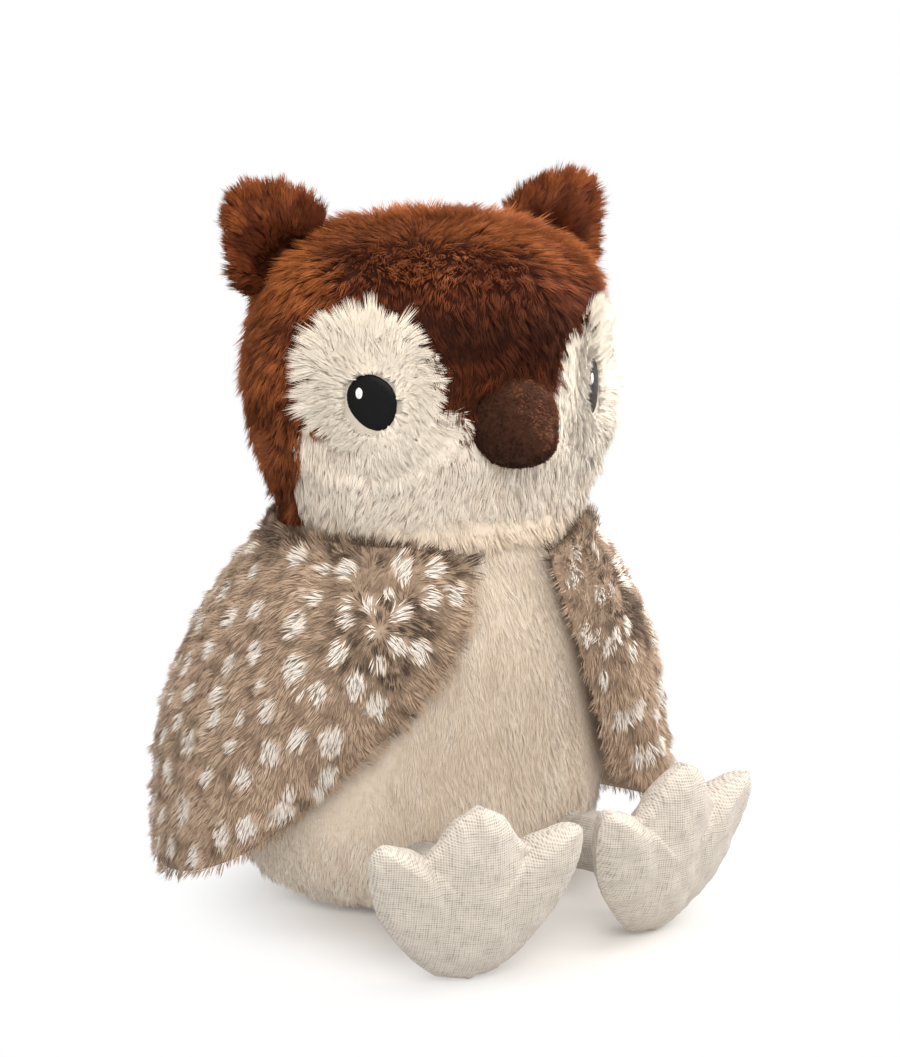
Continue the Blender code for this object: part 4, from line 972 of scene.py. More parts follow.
def near_eye(points, side):
    """1 beside an eye's rim, 0 away from it."""
    local = in_frame(points, EYE, side)
    return smooth((1.75 - oval_share(local, EYE["half"])) / 0.6)


def hanging(normals):
    """How much further pile lifts off an underside to hang straight down."""
    return 0.75 * np.arcsin(np.clip(-normals[:, 2], 0.0, 1.0))


def crown_comb(roots, normals):
    """Brown pile runs from a parting over the brow, back and down over the sides."""
    direction = DOWN + 0.012 * (roots - np.array((0.0, NECK[1] + 4.0, 0.0))) * (1.0, 1.0, 0.0)
    swirl = ripples(roots, 30.0, 21)
    return comb_over(normals, direction + 0.35 * swirl)


def ridge(roots, spacing, seed):
    """Waves of raised pile across the comb."""
    bend = 5.5 * ripple(roots, 34.0, seed)
    return np.sin((roots[..., 2] * 0.9 + 0.35 * np.abs(roots[..., 0]) + bend) * 2.0 * math.pi / spacing)


def grow_crown():
    """The brown pile of the head's three brown panels."""
    sizes = bpy.context.scene.owl_sizes
    panels = (
        ("crown_front", CROWN, sizes.crown_locks, 31),
        ("head_back_left", BACK_LEFT, HEAD_BACK_LOCKS, 32),
        ("head_back_right", BACK_RIGHT, HEAD_BACK_LOCKS, 33))
    for node, panel, count, seed in panels:
        rng = np.random.default_rng(seed)
        roots, normals, _, _ = head_skin().scatter(
            rng, count, lambda p: (panel_of(p) == panel) & off_face(p) & (p[..., 2] > NECK[2] + 29.5))
        comb = crown_comb(roots, normals)
        wave = 0.6 * ridge(roots, 9.0, 24) + 0.5 * ripple(roots, 7.0, 25)
        share, _ = disc_share(roots)
        near = smooth((1.30 - share) / 0.35)
        low = smooth((NECK[2] + 42.0 - roots[:, 2]) / 14.0)
        height, off_middle = roots[:, 2], np.abs(roots[:, 0])
        top = smooth((height - 222.0) / 30.0)
        peak = smooth((224.0 - height) / 12.0) * smooth((34.0 - off_middle) / 10.0)
        brow = smooth((242.0 - height) / 14.0) * smooth((height - 212.0) / 14.0)
        brow = brow * smooth((42.0 - off_middle) / 14.0)
        length = 0.86 * sizes.crown_pile / MM * (1.0 + 0.12 * wave) * mix(1.0, 0.72, near)
        length = length * mix(1.0, 0.9, low) * mix(1.0, 1.28, top)
        lift = 0.54 + 0.19 * wave - 0.12 * near + 0.18 * top + hanging(normals)
        # Painted light in the tint: the top is painted lighter as a highlight of the top light, the sides
        # lighter as painted rim light, the brow darker as painted shade, and the peak between the discs,
        # which lies in shade, lighter as painted fill
        tint = 0.17 + 0.12 * wave + 0.06 * ripple(roots, 26.0, 26) + 0.16 * top + 0.10 * peak
        tint = tint + 0.40 * smooth((off_middle - 40.0) / 22.0) + 0.26 * top - 0.14 * brow
        pile = grow(node + "_pile", material("owl_brown"), roots, normals, comb, length, lift, tint, seed,
                    clump=11, pull=0.30, stray=0.20, width=0.34, place=turned_head)
        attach(pile, "head")
        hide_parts(node)


def disc_chance(points, panel, side):
    """How thickly a disc's pile stands: most beside the eye, and more on the disc that is seen edge on."""
    thick = 1.0 + 1.2 * near_eye(points, side) + 0.8 * (side > 0.0)
    return ((panel_of(points) == panel) & off_face(points, 0.1)) * thick


def grow_discs():
    """Long white pile that stands out from round each eye and falls over the brown."""
    sizes = bpy.context.scene.owl_sizes
    for (side, word), panel in zip(SIDES, (DISC_LEFT, DISC_RIGHT)):
        rng = np.random.default_rng(40 + panel)
        roots, normals, _, _ = head_skin().scatter(rng, DISC_LOCKS, lambda p: disc_chance(p, panel, side))
        local = in_frame(roots, EYE, side)
        _, axes = facing_frame(EYE, side)
        angle = np.arctan2(local[:, 1], local[:, 0]) + 0.45 * ripple(roots, 13.0, 44)
        rim = oval_share(local, EYE["half"])
        outer = smooth((local[:, 0] * side + 4.0) / 6.0)
        fringe = (rim < 1.18) & (rng.random(len(roots)) < 0.34) & (outer > 0.5) & (local[:, 1] < 6.0)
        angle = np.where(fringe, angle + rng.uniform(1.2, 5.1, len(roots)), angle)
        spread = np.cos(angle)[:, None] * axes[0] + np.sin(angle)[:, None] * axes[1]
        beside = smooth((-local[:, 0] * side - 9.0) / 8.0)[:, None] * (0.9 if side > 0.0 else 0.25)
        comb = comb_over(normals, mix(spread, DOWN, beside) + 0.20 * DOWN)
        share = oval_share(local, (33.0, 31.0))
        low = smooth((-local[:, 1] - 6.0) / 18.0)
        inner = smooth((-local[:, 0] * side - 8.0) / 12.0)
        length = sizes.disc_pile / MM * mix(0.44, 1.0, smooth((share - 0.30) / 0.40)) * mix(1.0, 0.72, low)
        length = length * mix(1.0, 0.62 if side < 0.0 else 0.48, inner) * np.where(fringe, 0.42, 1.0)
        lift = mix(1.15, 0.32, smooth((share - 0.28) / 0.40)) + 0.08 * ripple(roots, 9.0, 42) - 0.15 * inner
        beside_eye = near_eye(roots, side) * (side < 0.0)
        lift = np.where(fringe, 1.2, mix(lift, mix(0.62, 1.18, outer), beside_eye))
        # painted light: the far disc (side 1, the left) is painted lighter and the near disc darker, as the
        # far one is turned away from the lamps
        tint = 0.71 + 0.11 * side + 0.08 * ripple(roots, 8.0, 43)
        middle = (0.0, NECK[1] - HEAD_FORWARD, EYE["height"] - 14.0)
        facing = unit((roots - middle) * (1.0, 1.0, 0.7))
        pile = grow("face_disc_%s_pile" % word, material("owl_disc"), roots, normals, comb, length, lift,
                    tint, 40 + panel, clump=14, pull=0.27, stray=0.22, place=turned_head, soft=0.90,
                    facing=facing)
        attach(pile, "head")
        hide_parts("face_disc_" + word)


def chin_chance(points):
    """How thickly the chin's pile stands: most just over the neck, and none inside the neck's opening."""
    height = points[..., 2] - NECK[2]
    thick = mix(1.0, 1.7, smooth((42.0 - height) / 8.0))
    return ((panel_of(points) == CHIN) & off_face(points) & (height > 28.5)) * thick


def grow_chin():
    """The cream pile of the cheeks and chin, combed down to the neck."""
    sizes = bpy.context.scene.owl_sizes
    rng = np.random.default_rng(50)
    roots, normals, _, _ = head_skin().scatter(rng, CHIN_LOCKS, chin_chance)
    sway = np.stack((0.25 * ripple(roots, 30.0, 51) + 0.25 * np.tanh(roots[:, 0] / 4.0), 0.0 * roots[:, 0],
                     0.0 * roots[:, 0]), axis=1)
    comb = comb_over(normals, DOWN + sway)
    seam = np.exp(-(roots[:, 0] / 1.6) ** 2)
    hem = smooth((NECK[2] + 40.0 - roots[:, 2]) / 10.0)
    length = sizes.chin_pile / MM * mix(1.0, 0.75, seam) * (1.0 + 0.08 * ripple(roots, 9.0, 52))
    length = length * mix(1.0, 1.12, hem)
    lift = mix(0.30, 0.20, hem) + 0.07 * ripple(roots * (1.0, 1.0, 0.4), 8.0, 53) + 0.20 * hanging(normals)
    tint = 0.78 + 0.06 * ripple(roots * (1.0, 1.0, 0.35), 9.0, 54) - 0.20 * seam
    # painted shade: the pile of the hem, under the chin, is painted darker
    tint = tint - 0.55 * hem
    pile = grow("chin_pile", material("owl_cream"), roots, normals, comb, length, lift, tint, 50,
                clump=14, pull=0.26, stray=0.16, place=turned_head, soft=0.75)
    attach(pile, "head")
    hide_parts("chin_panel")


# Eyes and beak


def make_eyes():
    """Satin-stitched patches with a stitched highlight, sunk in the long pile."""
    for side, word in SIDES:
        origin, axes = facing_frame(EYE, side)
        patches = (("eye_%s_stitching" % word, (0.0, 0.0), EYE["half"], EYE_REACH, 1.3, "owl_eye_thread",
                    "eye_" + word, "eye_thread"),
                   ("eye_highlight_%s_stitching" % word, (-3.4, 3.6), (1.75, 2.5), EYE_REACH + 0.75, 0.6,
                    "owl_mark_thread", "eye_highlight_" + word, "highlight_thread"))
        for name, centre, half, reach, crown, finish, node, slot in patches:
            angle = np.linspace(0.0, 2.0 * math.pi, 64, endpoint=False)
            rows, flat = [], []
            wobble = 1.0 + 0.008 * np.sin(angle * 5.0 + side) + 0.006 * np.sin(angle * 23.0)
            for radius, rise in EYE_PROFILE:
                x = centre[0] + half[0] * radius * np.cos(angle) * wobble
                y = centre[1] + half[1] * radius * np.sin(angle) * wobble
                z = reach + rise * crown - (x ** 2) / 150.0
                rows.append(origin + x[:, None] * axes[0] + y[:, None] * axes[1] + z[:, None] * axes[2])
                flat.append(np.stack((x, y), axis=1))
            item = add_skin(name, Skin(turned_head(np.array(rows))), material(finish), np.array(flat))
            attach(item, "head")
            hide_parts(node)


def beak_skin():
    """The beak's cloth under its nap: a bulb that droops a little to its tip."""
    origin, axes = facing_frame(BEAK, 1.0)
    curve = spline([(BEAK["radius"] * w, BEAK["base"] + BEAK["length"] * s) for s, w in BEAK_SHARES], 6)
    curve[-1, 0] = 0.0
    grid = turned_grid(curve, 72)
    grid[..., 1] *= BEAK_TALL_SHARE
    grid[..., 1] -= BEAK["droop"] * (np.maximum(grid[..., 2] - BEAK["base"], 0.0) / BEAK["length"]) ** 2
    return Skin(origin + grid @ axes).sunk(BEAK_DEPTH)


def make_beak():
    """A stuffed velour bulb: seams below and a nap combed to its tip."""
    grid = beak_skin().grid
    base = np.array([mix(grid[0].mean(axis=0), grid[0], s) for s in (0.0, 0.5)])
    item = add_skin("beak_form", Skin(turned_head(np.concatenate((base, grid)))), material("owl_beak_cloth"))
    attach(item, "head")
    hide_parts("beak_stuffing")
    rng = np.random.default_rng(60)
    roots, normals, _, _ = beak_skin().scatter(rng, BEAK_LOCKS)
    _, axes = facing_frame(BEAK, 1.0)
    local = in_frame(roots, BEAK, 1.0)
    angle = np.arctan2(local[:, 1], local[:, 0])
    from_seam = np.abs(np.angle(np.exp(1j * (angle + 2.2)))) * np.hypot(local[:, 0], local[:, 1])
    side_seam = np.exp(-(from_seam / 0.9) ** 2)
    sway = 0.5 * ripple(roots, 9.0, 61)
    nod = 0.35 * ripple(roots, 8.0, 63)
    comb = comb_over(normals, axes[2] + sway[:, None] * axes[0] + nod[:, None] * axes[1])
    length = bpy.context.scene.owl_sizes.beak_pile / MM * mix(1.25, 0.5, side_seam)
    lift = 0.72 + 0.15 * ripple(roots, 5.0, 62)
    # painted light: the nap is painted lighter where it faces up and to the owl's left, towards the light,
    # and darker where it faces away
    light = smooth(0.42 + 0.5 * (normals @ np.array((0.72, -0.12, 0.68))))
    tint = 0.06 + 0.90 * light + 0.12 * ripple(roots, 6.0, 64) - 0.25 * side_seam
    pile = grow("beak_pile", material("owl_beak"), roots, normals, comb, length, lift, tint, 60, width=0.36,
                segments=1, clump=10, pull=0.5, stray=0.3, place=turned_head)
    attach(pile, "head")
    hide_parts("beak_cover")


# Ears


def ear_axes(side):
    return np.array(((side * math.cos(EAR_SLOPE), 0.0, -math.sin(EAR_SLOPE)),
                     (side * math.sin(EAR_SLOPE), 0.0, math.cos(EAR_SLOPE)), (0.0, -1.0, 0.0)))


def ear_foot(side, across):
    """Height of the head's surface in the ear's plane."""
    axes = ear_axes(side)
    place = EAR_FOOT * (side, 1.0, 1.0)
    curve = head_curve()
    rises = np.linspace(-EAR_RISE, EAR_RISE, 400)
    points = place + across * axes[0] + rises[:, None] * axes[1] - NECK
    radius = np.interp(points[:, 2], curve[:, 1], curve[:, 0])
    outside = np.hypot(points[:, 0], points[:, 1] + HEAD_FORWARD) > radius
    return rises[np.argmax(outside)]


def ear_skin(side):
    """Two panels back to back: rings from the front's middle over the seam to the back's middle."""
    outline = [(EAR_HALF * s, EAR_RISE * h) for s, h in EAR_SHARES]
    for share in (-0.90, -0.62, -0.31, 0.0, 0.31, 0.62, 0.90):
        outline.append((EAR_HALF * share, ear_foot(side, EAR_HALF * share) - 1.5))
    edge = spline(outline, 6, closed=True)
    middle = np.array((0.0, EAR_RISE * 0.40))
    axes = ear_axes(side)
    rows = []
    steps = 14
    for i in range(steps * 2 + 1):
        t = i / steps - 1.0
        reach = math.cos(t * math.pi / 2.0) ** 0.85
        depth = math.copysign(1.0, -t) * (1.0 - reach ** 2.4) * (EAR_THICK - EAR_DEPTH)
        ring = middle + (edge - middle) * reach * (1.0 - EAR_DEPTH / EAR_RISE)
        cup = 1.6 * math.exp(-((i - steps * 0.4) / 4.0) ** 2) if i < steps else 0.0
        rows.append(EAR_FOOT * (side, 1.0, 1.0) + ring[:, :1] * axes[0] + ring[:, 1:] * axes[1]
                    + (depth - cup) * axes[2])
    grid = np.array(rows)
    if side < 0.0:
        grid = grid[:, ::-1]
    return Skin(grid[::-1])


def make_ears():
    """Both ears under their pile, each a front and a back panel."""
    sizes = bpy.context.scene.owl_sizes
    for side, word in SIDES:
        skin = ear_skin(side)
        item = add_skin("ear_%s_form" % word, Skin(turned_head(skin.grid)), material("owl_brown_cloth"))
        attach(item, "ear_" + word)
        axes = ear_axes(side)
        for face, sign in (("front", -1.0), ("back", 1.0)):
            seed = 70 + int(side) + int(sign) * 3
            rng = np.random.default_rng(seed)
            seam = EAR_FOOT[1]
            roots, normals, _, _ = skin.scatter(rng, EAR_LOCKS, lambda p: (p[..., 1] - seam) * sign > 0.0)
            local = (roots - EAR_FOOT * (side, 1.0, 1.0)) @ axes.T
            out = local[:, :1] / EAR_HALF
            direction = axes[1] + axes[0] * out * 1.1 + np.array((0.0, 0.35 * sign, 0.0))
            comb = comb_over(normals, direction)
            rim = smooth((np.hypot(out[:, 0], local[:, 1] / EAR_RISE * 0.9) - 0.3) / 0.6)
            length = sizes.ear_pile / MM * mix(0.85, 1.12, rim)
            wave = ripple(roots, 8.0, 71)
            lift = 0.55 + 0.18 * wave
            # painted light and shade: the rim is painted lighter as rim light, and the fold at the ear's
            # foot darker as painted shade in the crease
            fold = np.exp(-((local[:, 1] + 1.0) / 5.0) ** 2)
            tint = 0.30 + 0.10 * wave + 0.30 * rim - 0.28 * fold
            pile = grow("ear_%s_%s_pile" % (word, face), material("owl_brown"), roots, normals, comb, length,
                        lift, tint, seed + 4, clump=12, pull=0.32, stray=0.22, place=turned_head)
            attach(pile, "ear_" + word)
            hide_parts("ear_%s_%s" % (word, face))


# Wings


def wing_edges(side, down, power=None):
    """Azimuth of the wing's front and rear edges, from the side towards the front."""
    power = power or 1.70 - 0.30 * side
    front = mix(math.radians(75.0 + 3.0 * side), math.radians(42.5 + 9.5 * side), down ** power)
    return front, mix(math.radians(-52.0), math.radians(-28.0), down)


def wing_points(side, across, down, depth):
    """Points of a hanging wing at shares across and down, at a depth under its face."""
    front, rear = wing_edges(side, down)
    azimuth = mix(front, rear, across)
    lean = np.sin(azimuth) ** 2
    top = NECK[2] + BALL * np.cos(mix(math.radians(63.6), math.radians(67.5), smooth((lean - 0.55) / 0.4)))
    hem = WING_TIP + (top - WING_TIP) * along(WING_HEM_SHARES, across)
    height = mix(top, hem, down)
    leaving = smooth(0.12 * down + across * 2.8)
    crest = NECK[2] + BALL * math.cos(math.radians(68.0))
    fallen = np.clip((crest - height) / (crest - WING_TIP), 0.0, 1.0)
    away = along(WING_SPREAD_SHARES, fallen) ** (1.2 + 0.2 * side) * leaving
    snug = torso_radius(height) + WING_SNUG
    ratio = mix(torso_ratio(height), 1.0, away)
    radius = mix(snug, np.maximum(WING_SPREAD + 1.7 * side, snug), away) - depth
    return np.stack((side * radius * np.cos(azimuth), torso_shift(height) - radius * ratio * np.sin(azimuth),
                     height), axis=-1)


WING_STEPS = 52


def wing_skin(side):
    """The whole wing as a flat tube: rows from the hem up, columns across its face and back again."""
    rows = []
    for down in np.linspace(1.0, 0.0, WING_STEPS):
        share = np.linspace(0.0, 1.0, WING_STEPS)
        edge = np.minimum(np.minimum(share, 1.0 - share) * 8.0, (1.0 - down) * 9.0 + 0.05)
        wall = mix(0.5, 2.1, smooth(edge))
        middle = mix(2.8, 4.4, smooth(edge))
        # one loop: the face from the rear edge to the front, then the lining back
        outer = wing_points(side, share[::-1], down, (middle - wall)[::-1])
        inner = wing_points(side, share, down, middle + wall)
        rows.append(np.concatenate((outer, inner)))
    grid = np.array(rows)
    mean_low = (grid[0] + grid[0][::-1]) / 2.0
    mean_high = (grid[-1] + grid[-1][::-1]) / 2.0
    grid = np.concatenate((mean_low[None], grid, mean_high[None]))
    return Skin(grid if side < 0.0 else grid[:, ::-1])


def wing_place_of(side, row, column):
    """Shares across and down, and whether it is the face, from a place on the wing's skin."""
    down = 1.0 - np.clip((row - 1.0) / (WING_STEPS - 1.0), 0.0, 1.0)
    count = WING_STEPS * 2
    column = column if side < 0.0 else (count - 1 - column) % count
    face = column < WING_STEPS - 0.5
    across = np.where(face, 1.0 - column / (WING_STEPS - 1.0), (column - WING_STEPS) / (WING_STEPS - 1.0))
    return np.clip(across, 0.0, 1.0), down, face


def spot_share(side, points):
    """How far inside the nearest pale spot each place is: above 0 is inside."""
    spots = SPOTS_RIGHT if side < 0.0 else SPOTS_LEFT + tuple(s for s in SPOTS_RIGHT if s[0] > 0.27)
    spots = np.array(spots + SPOTS_REAR)
    front, rear = wing_edges(side, spots[:, 1])
    measured, _ = wing_edges(side, spots[:, 1], SPOT_EDGE_POWER)
    across = (front - mix(measured, rear, spots[:, 0])) / (front - rear)
    centres = wing_points(side, across, spots[:, 1], -1.0)
    best = np.full(len(points), -9.0)
    for centre, radius, near_top in zip(centres, spots[:, 2], 0.09 - spots[:, 1]):
        gap = points - centre
        distance = np.sqrt(gap[:, 0] ** 2 + gap[:, 1] ** 2 + (gap[:, 2] * 0.82) ** 2)
        size = radius * (SPOT_SIZE + 0.22 * (side > 0.0) - 0.12 * (near_top > 0.0))
        best = np.maximum(best, 1.0 - distance / size)
    return best


def bend_wing(item):
    """Bakes the piece's transform into its mesh; the cloth's bend over the fold between the sewn shoulder
    and the free wing is in the wing's own shape.
    """
    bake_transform(item)


def make_wings():
    """Both wings: the folded cloth, the spotted pile outside and the short pile of the lining."""
    sizes = bpy.context.scene.owl_sizes
    for side, word in SIDES:
        skin = wing_skin(side)
        cloth = add_skin("wing_%s_cloth" % word, skin, material("owl_wing_cloth"))
        places = np.array([v.co for v in cloth.data.vertices]) / MM
        pale = smooth((spot_share(side, places) + 0.25) / 0.5)
        shade = cloth.data.attributes.new("Pale", "FLOAT", "POINT")
        shade.data.foreach_set("value", pale.astype(np.float32))
        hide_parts("wing_%s_shoulder" % word)
        bend_wing(cloth)
        rng = np.random.default_rng(80 + int(side))
        count = int(sizes.wing_locks * WING_BOTH_FACES)
        roots, normals, row, column = skin.scatter(rng, count)
        across, down, face = wing_place_of(side, row, column)
        whorl = wing_points(side, np.array(WHORL[0]), np.array(WHORL[1]), 0.0)
        away = roots - whorl
        reach = np.linalg.norm(away, axis=1, keepdims=True)
        front_edge = smooth((0.16 - across) / 0.16)[:, None]
        tangent = wing_points(side, np.clip(across - 0.02, 0.0, 1.0), down, 0.0) - wing_points(
            side, np.clip(across + 0.02, 0.0, 1.0), down, 0.0)
        away[:, 2] *= smooth((down - 0.02) / 0.12)
        fall = mix(0.25, -0.75, smooth(down / 0.10))[:, None] * np.array((0.0, 0.0, 1.0))
        flow = unit(away) * mix(0.9, 0.35, smooth(reach / 60.0)) + fall + unit(tangent) * front_edge * 0.9
        swirl = ripples(roots, 22.0, 81)
        comb = comb_over(normals, flow + 0.25 * swirl)
        for part, keep, finish in (("outer", face, "owl_wing"), ("lining", ~face, "owl_cream")):
            if part == "lining":
                keep = keep & (rng.random(count) < LINING_SHARE)
            r, n, c = roots[keep], normals[keep], comb[keep]
            wave = ripple(r, 8.0, 84)
            if part == "outer":
                edge = np.minimum(np.minimum(across, 1.0 - across) * 9.0, (1.0 - down) * 10.0)[keep]
                length = sizes.wing_pile / MM * (1.0 + 0.08 * wave) * mix(1.1, 1.0, smooth(edge))
                length = length * mix(1.15, 1.0, smooth(down[keep] / 0.06))
                lift = 0.66 + 0.12 * wave
                tip = r + (c * 0.8 + n * 0.6) * length[:, None] * 0.75
                spot = spot_share(side, tip + 0.5 * np.stack((wave, wave, ripple(r, 3.0, 86)), axis=1))
                whorl_gap = np.linalg.norm(r - whorl, axis=1)
                tint = 0.36 + 0.09 * wave + 0.07 * ripple(r, 24.0, 85)
                tint = tint - 0.52 * np.exp(-(whorl_gap / 18.0) ** 2)
                # painted shade: the pile along the wing's sewn top, under the head, is painted darker
                tint = tint - 0.30 * smooth((0.10 - down[keep]) / 0.08)
                half = r + (c * 0.8 + n * 0.5) * length[:, None] * 0.35
                spot = np.maximum(spot, spot_share(side, half) - 0.22)
                tint = np.clip(tint, 0.0, 0.60)
                tint = np.where(spot > -0.22, mix(0.60, 0.84, smooth((spot + 0.26) / 0.50)), tint)
                pale = tint > 0.66
                lift = lift + 0.08 * pale
                extra = dict(clump=12, pull=0.28, stray=0.13, width=np.where(pale, 0.64, 0.38))
            else:
                length = sizes.lining_pile / MM * (1.0 + 0.1 * wave)
                lift = 0.6 + 0.1 * wave
                tint = 0.10 + 0.1 * wave
                extra = dict(clump=9, pull=0.4, stray=0.25, segments=1)
            pile = grow("wing_%s_%s_pile" % (word, part), material(finish), r, n, c, length, lift, tint,
                        88 + int(side) + (3 if part == "outer" else 0), **extra)
            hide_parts("wing_%s_%s" % (word, part))
            bend_wing(pile)


# Legs and feet


def foot_axes(side):
    """Origin and axes (across, up the sole, outward) of a foot."""
    yaw = FOOT_YAW - (math.radians(4.2) if side > 0.0 else math.radians(2.8))
    flat = np.array((side * math.sin(yaw), -math.cos(yaw), 0.0))
    across = np.array((side * math.cos(yaw), math.sin(yaw), 0.0))
    upward = np.array((0.0, 0.0, math.cos(FOOT_LEAN))) + flat * math.sin(FOOT_LEAN)
    outward = flat * math.cos(FOOT_LEAN) - np.array((0.0, 0.0, math.sin(FOOT_LEAN)))
    origin = np.array((side * FOOT_PLACE[0] - 1.2, FOOT_PLACE[1] + side * 1.2, -0.5))
    return origin, np.array((across, upward, outward))


def hip_place(side):
    radius = torso_radius(np.array(HIP_Z))
    depth = radius * torso_ratio(HIP_Z)
    front = torso_shift(HIP_Z) - depth * math.sqrt(1.0 - (HIP / radius) ** 2)
    return np.array((side * HIP, front + 2.0, HIP_Z))


def ankle_place(side):
    origin, axes = foot_axes(side)
    return origin + np.array((0.0, FOOT_SIZE[1] * ANKLE_SHARE, -(FOOT_BULGES[1] + 0.5 + ANKLE_BALL))) @ axes


def make_legs():
    """Soft linen tubes with their gathers, from the hip to behind the foot."""
    for side, word in SIDES:
        hip, ankle = hip_place(side), ankle_place(side)
        axis = unit(ankle - hip)
        run = np.linalg.norm(ankle - hip)
        sideways = unit(np.cross(axis, (0.0, 0.0, 1.0)))
        axes = np.array((sideways, np.cross(axis, sideways), axis))
        curve = spline((
            (0.0, -HIP_BALL + 1.5), (8.5, -11.0), (HIP_BALL - 2.4, -1.0), (HIP_BALL - 4.0, run * 0.35),
            (ANKLE_BALL + 0.9, run * 0.62), (ANKLE_BALL, run * 0.98), (6.4, run + ANKLE_BALL * 0.72),
            (0.0, run + ANKLE_BALL - 0.4)), 7)
        curve[0, 0] = curve[-1, 0] = 0.0
        curve[:, 0] = np.maximum(curve[:, 0], 0.0)
        grid = turned_grid(curve, 56)
        angle = np.arctan2(grid[..., 1], grid[..., 0])
        gather = 1.0 + 0.035 * np.sin(angle * 7.0 + grid[..., 2] * 0.12 + side) * smooth(
            np.minimum(grid[..., 2], run - grid[..., 2] + 6.0) / 8.0) + 0.02 * ripple(grid, 11.0, 90)
        grid[..., :2] *= gather[..., None]
        flat = np.stack((np.unwrap(angle, axis=1) * 10.5, grid[..., 2]), axis=-1)
        points = hip + grid @ axes
        points[..., 2] = np.maximum(points[..., 2], FLOOR_GAP)
        # the legs take the darker linen, painted shade
        item = add_skin("leg_%s_linen" % word, Skin(points), material("owl_linen_painted_shade"), flat)
        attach(item, "leg_" + word)
        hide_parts("leg_%s_cover" % word, "leg_%s_stuffing" % word)


def foot_outline():
    half = np.array(FOOT_SHARES) * FOOT_SIZE
    valley = 10
    parts = []
    for first, last in ((0, valley), (valley, len(half) - 1)):
        knots = half[first:last + 1]
        curve = spline(knots, 9)
        place = np.arange(len(curve)) / 9.0
        straight = np.stack([np.interp(place, np.arange(len(knots)), knots[:, k]) for k in (0, 1)], axis=1)
        parts.append(mix(curve, straight, 0.55)[:-1])
    right = np.vstack(parts + [half[-1:]])
    left = right[-2:0:-1] * (-1.0, 1.0)
    return np.vstack((right, left))


def foot_relief(flat, front):
    """Creases from the toe valleys and soft wrinkles over a foot, in millimetres."""
    relief = np.zeros(flat.shape[:-1])
    width, height = FOOT_SIZE
    for sign in (-1.0, 1.0):
        start = np.array((sign * 0.245 * width, 0.75 * height))
        end = np.array((sign * 0.13 * width, 0.44 * height))
        run = end - start
        t = np.clip(((flat - start) @ run) / (run @ run), 0.0, 1.0)
        gap = np.linalg.norm(flat - start - t[..., None] * run, axis=-1)
        relief -= (1.5 * np.exp(-(gap / 1.6) ** 2) + 1.5 * np.exp(-(gap / 5.0) ** 2)) * (1.0 - t) ** 0.9
    points = np.concatenate((flat, np.full(flat.shape[:-1] + (1,), 7.0 if front else 31.0)), axis=-1)
    return relief + 0.55 * ripple(points * (1.0, 0.5, 1.0), 22.0, 95) + 0.3 * ripple(points, 9.0, 96)


def make_feet():
    """Linen pads of three toes, sewn round the edge, each a front and a back panel over its stuffing."""
    outline = foot_outline()
    middle = np.array((0.0, FOOT_SIZE[1] * 0.46))
    steps = 22
    for side, word in SIDES:
        origin, axes = foot_axes(side)
        rows, flats = [], []
        for i in range(steps * 2 + 1):
            t = i / steps - 1.0
            reach = math.cos(t * math.pi / 2.0) if abs(t) < 1.0 else 0.0
            front = t > 0.0
            full = (1.0 - reach ** 2.6) ** 0.62 if reach < 1.0 else 0.0
            bulge = FOOT_BULGES[0] if front else FOOT_BULGES[1]
            flat = middle + (outline - middle) * reach
            swell = bulge * full
            relief = foot_relief(flat, front) * min(1.0, (1.0 - reach) * 7.0) * (1.0 if reach > 0.0 else 0.0)
            if reach == 0.0:
                relief = np.full(len(flat), foot_relief(middle[None], front)[0])
            pinch = 0.5 * math.exp(-((1.0 - reach) / 0.03) ** 2)
            inset = 1.0 - reach
            pucker = ripple(outline, 5.5, 97) * 0.55 * math.exp(-inset / 0.10) * min(1.0, inset * 25.0)
            low_edge = smooth((0.62 * FOOT_SIZE[1] - flat[:, 1]) / 8.0) if front else 0.0
            relief = relief + pucker - 0.8 * low_edge * math.exp(-((reach - 0.935) / 0.018) ** 2)
            z = (1.0 if front else -1.0) * np.maximum(swell + relief - pinch, 0.0)
            rows.append(origin + flat[:, :1] * axes[0] + flat[:, 1:] * axes[1] + z[:, None] * axes[2])
            flats.append(flat + (0.0, 0.0 if front else 200.0))
        grid = np.array(rows)
        flats = np.array(flats)
        grid[..., 2] = np.maximum(grid[..., 2], FLOOR_GAP)
        if side < 0.0:
            grid, flats = grid[:, ::-1], flats[:, ::-1]
        item = add_skin("foot_%s_linen" % word, Skin(grid), material("owl_linen"), flats)
        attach(item, "foot_" + word)
        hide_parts("foot_%s_sole" % word, "foot_%s_upper" % word, "foot_%s_stuffing" % word)


# Stage


def add_area(name, place, target, size, power, colour):
    bpy.ops.object.light_add(type="AREA", location=place)
    lamp = bpy.context.object
    lamp.name = name
    lamp.data.shape = "RECTANGLE"
    lamp.data.size, lamp.data.size_y = size
    lamp.data.energy = power
    lamp.data.color = colour
    lamp.rotation_euler = (Vector(target) - Vector(place)).to_track_quat("-Z", "Y").to_euler()
    return lamp


def backdrop():
    """A white world that lights the owl softly."""
    world = bpy.data.worlds.new("white")
    bpy.context.scene.world = world
    world.use_nodes = True
    nodes, links = world.node_tree.nodes, world.node_tree.links
    fill = nodes["Background"]
    fill.inputs["Color"].default_value = (1.0, 0.985, 0.965, 1.0)
    fill.inputs["Strength"].default_value = WORLD_LIGHT
    seen = nodes.new("ShaderNodeBackground")
    seen.inputs["Color"].default_value = (1.0, 1.0, 1.0, 1.0)
    seen.inputs["Strength"].default_value = 1.0
    path = nodes.new("ShaderNodeLightPath")
    either = nodes.new("ShaderNodeMixShader")
    links.new(path.outputs["Is Camera Ray"], either.inputs["Fac"])
    links.new(fill.outputs["Background"], either.inputs[1])
    links.new(seen.outputs["Background"], either.inputs[2])
    links.new(either.outputs["Shader"], nodes["World Output"].inputs["Surface"])


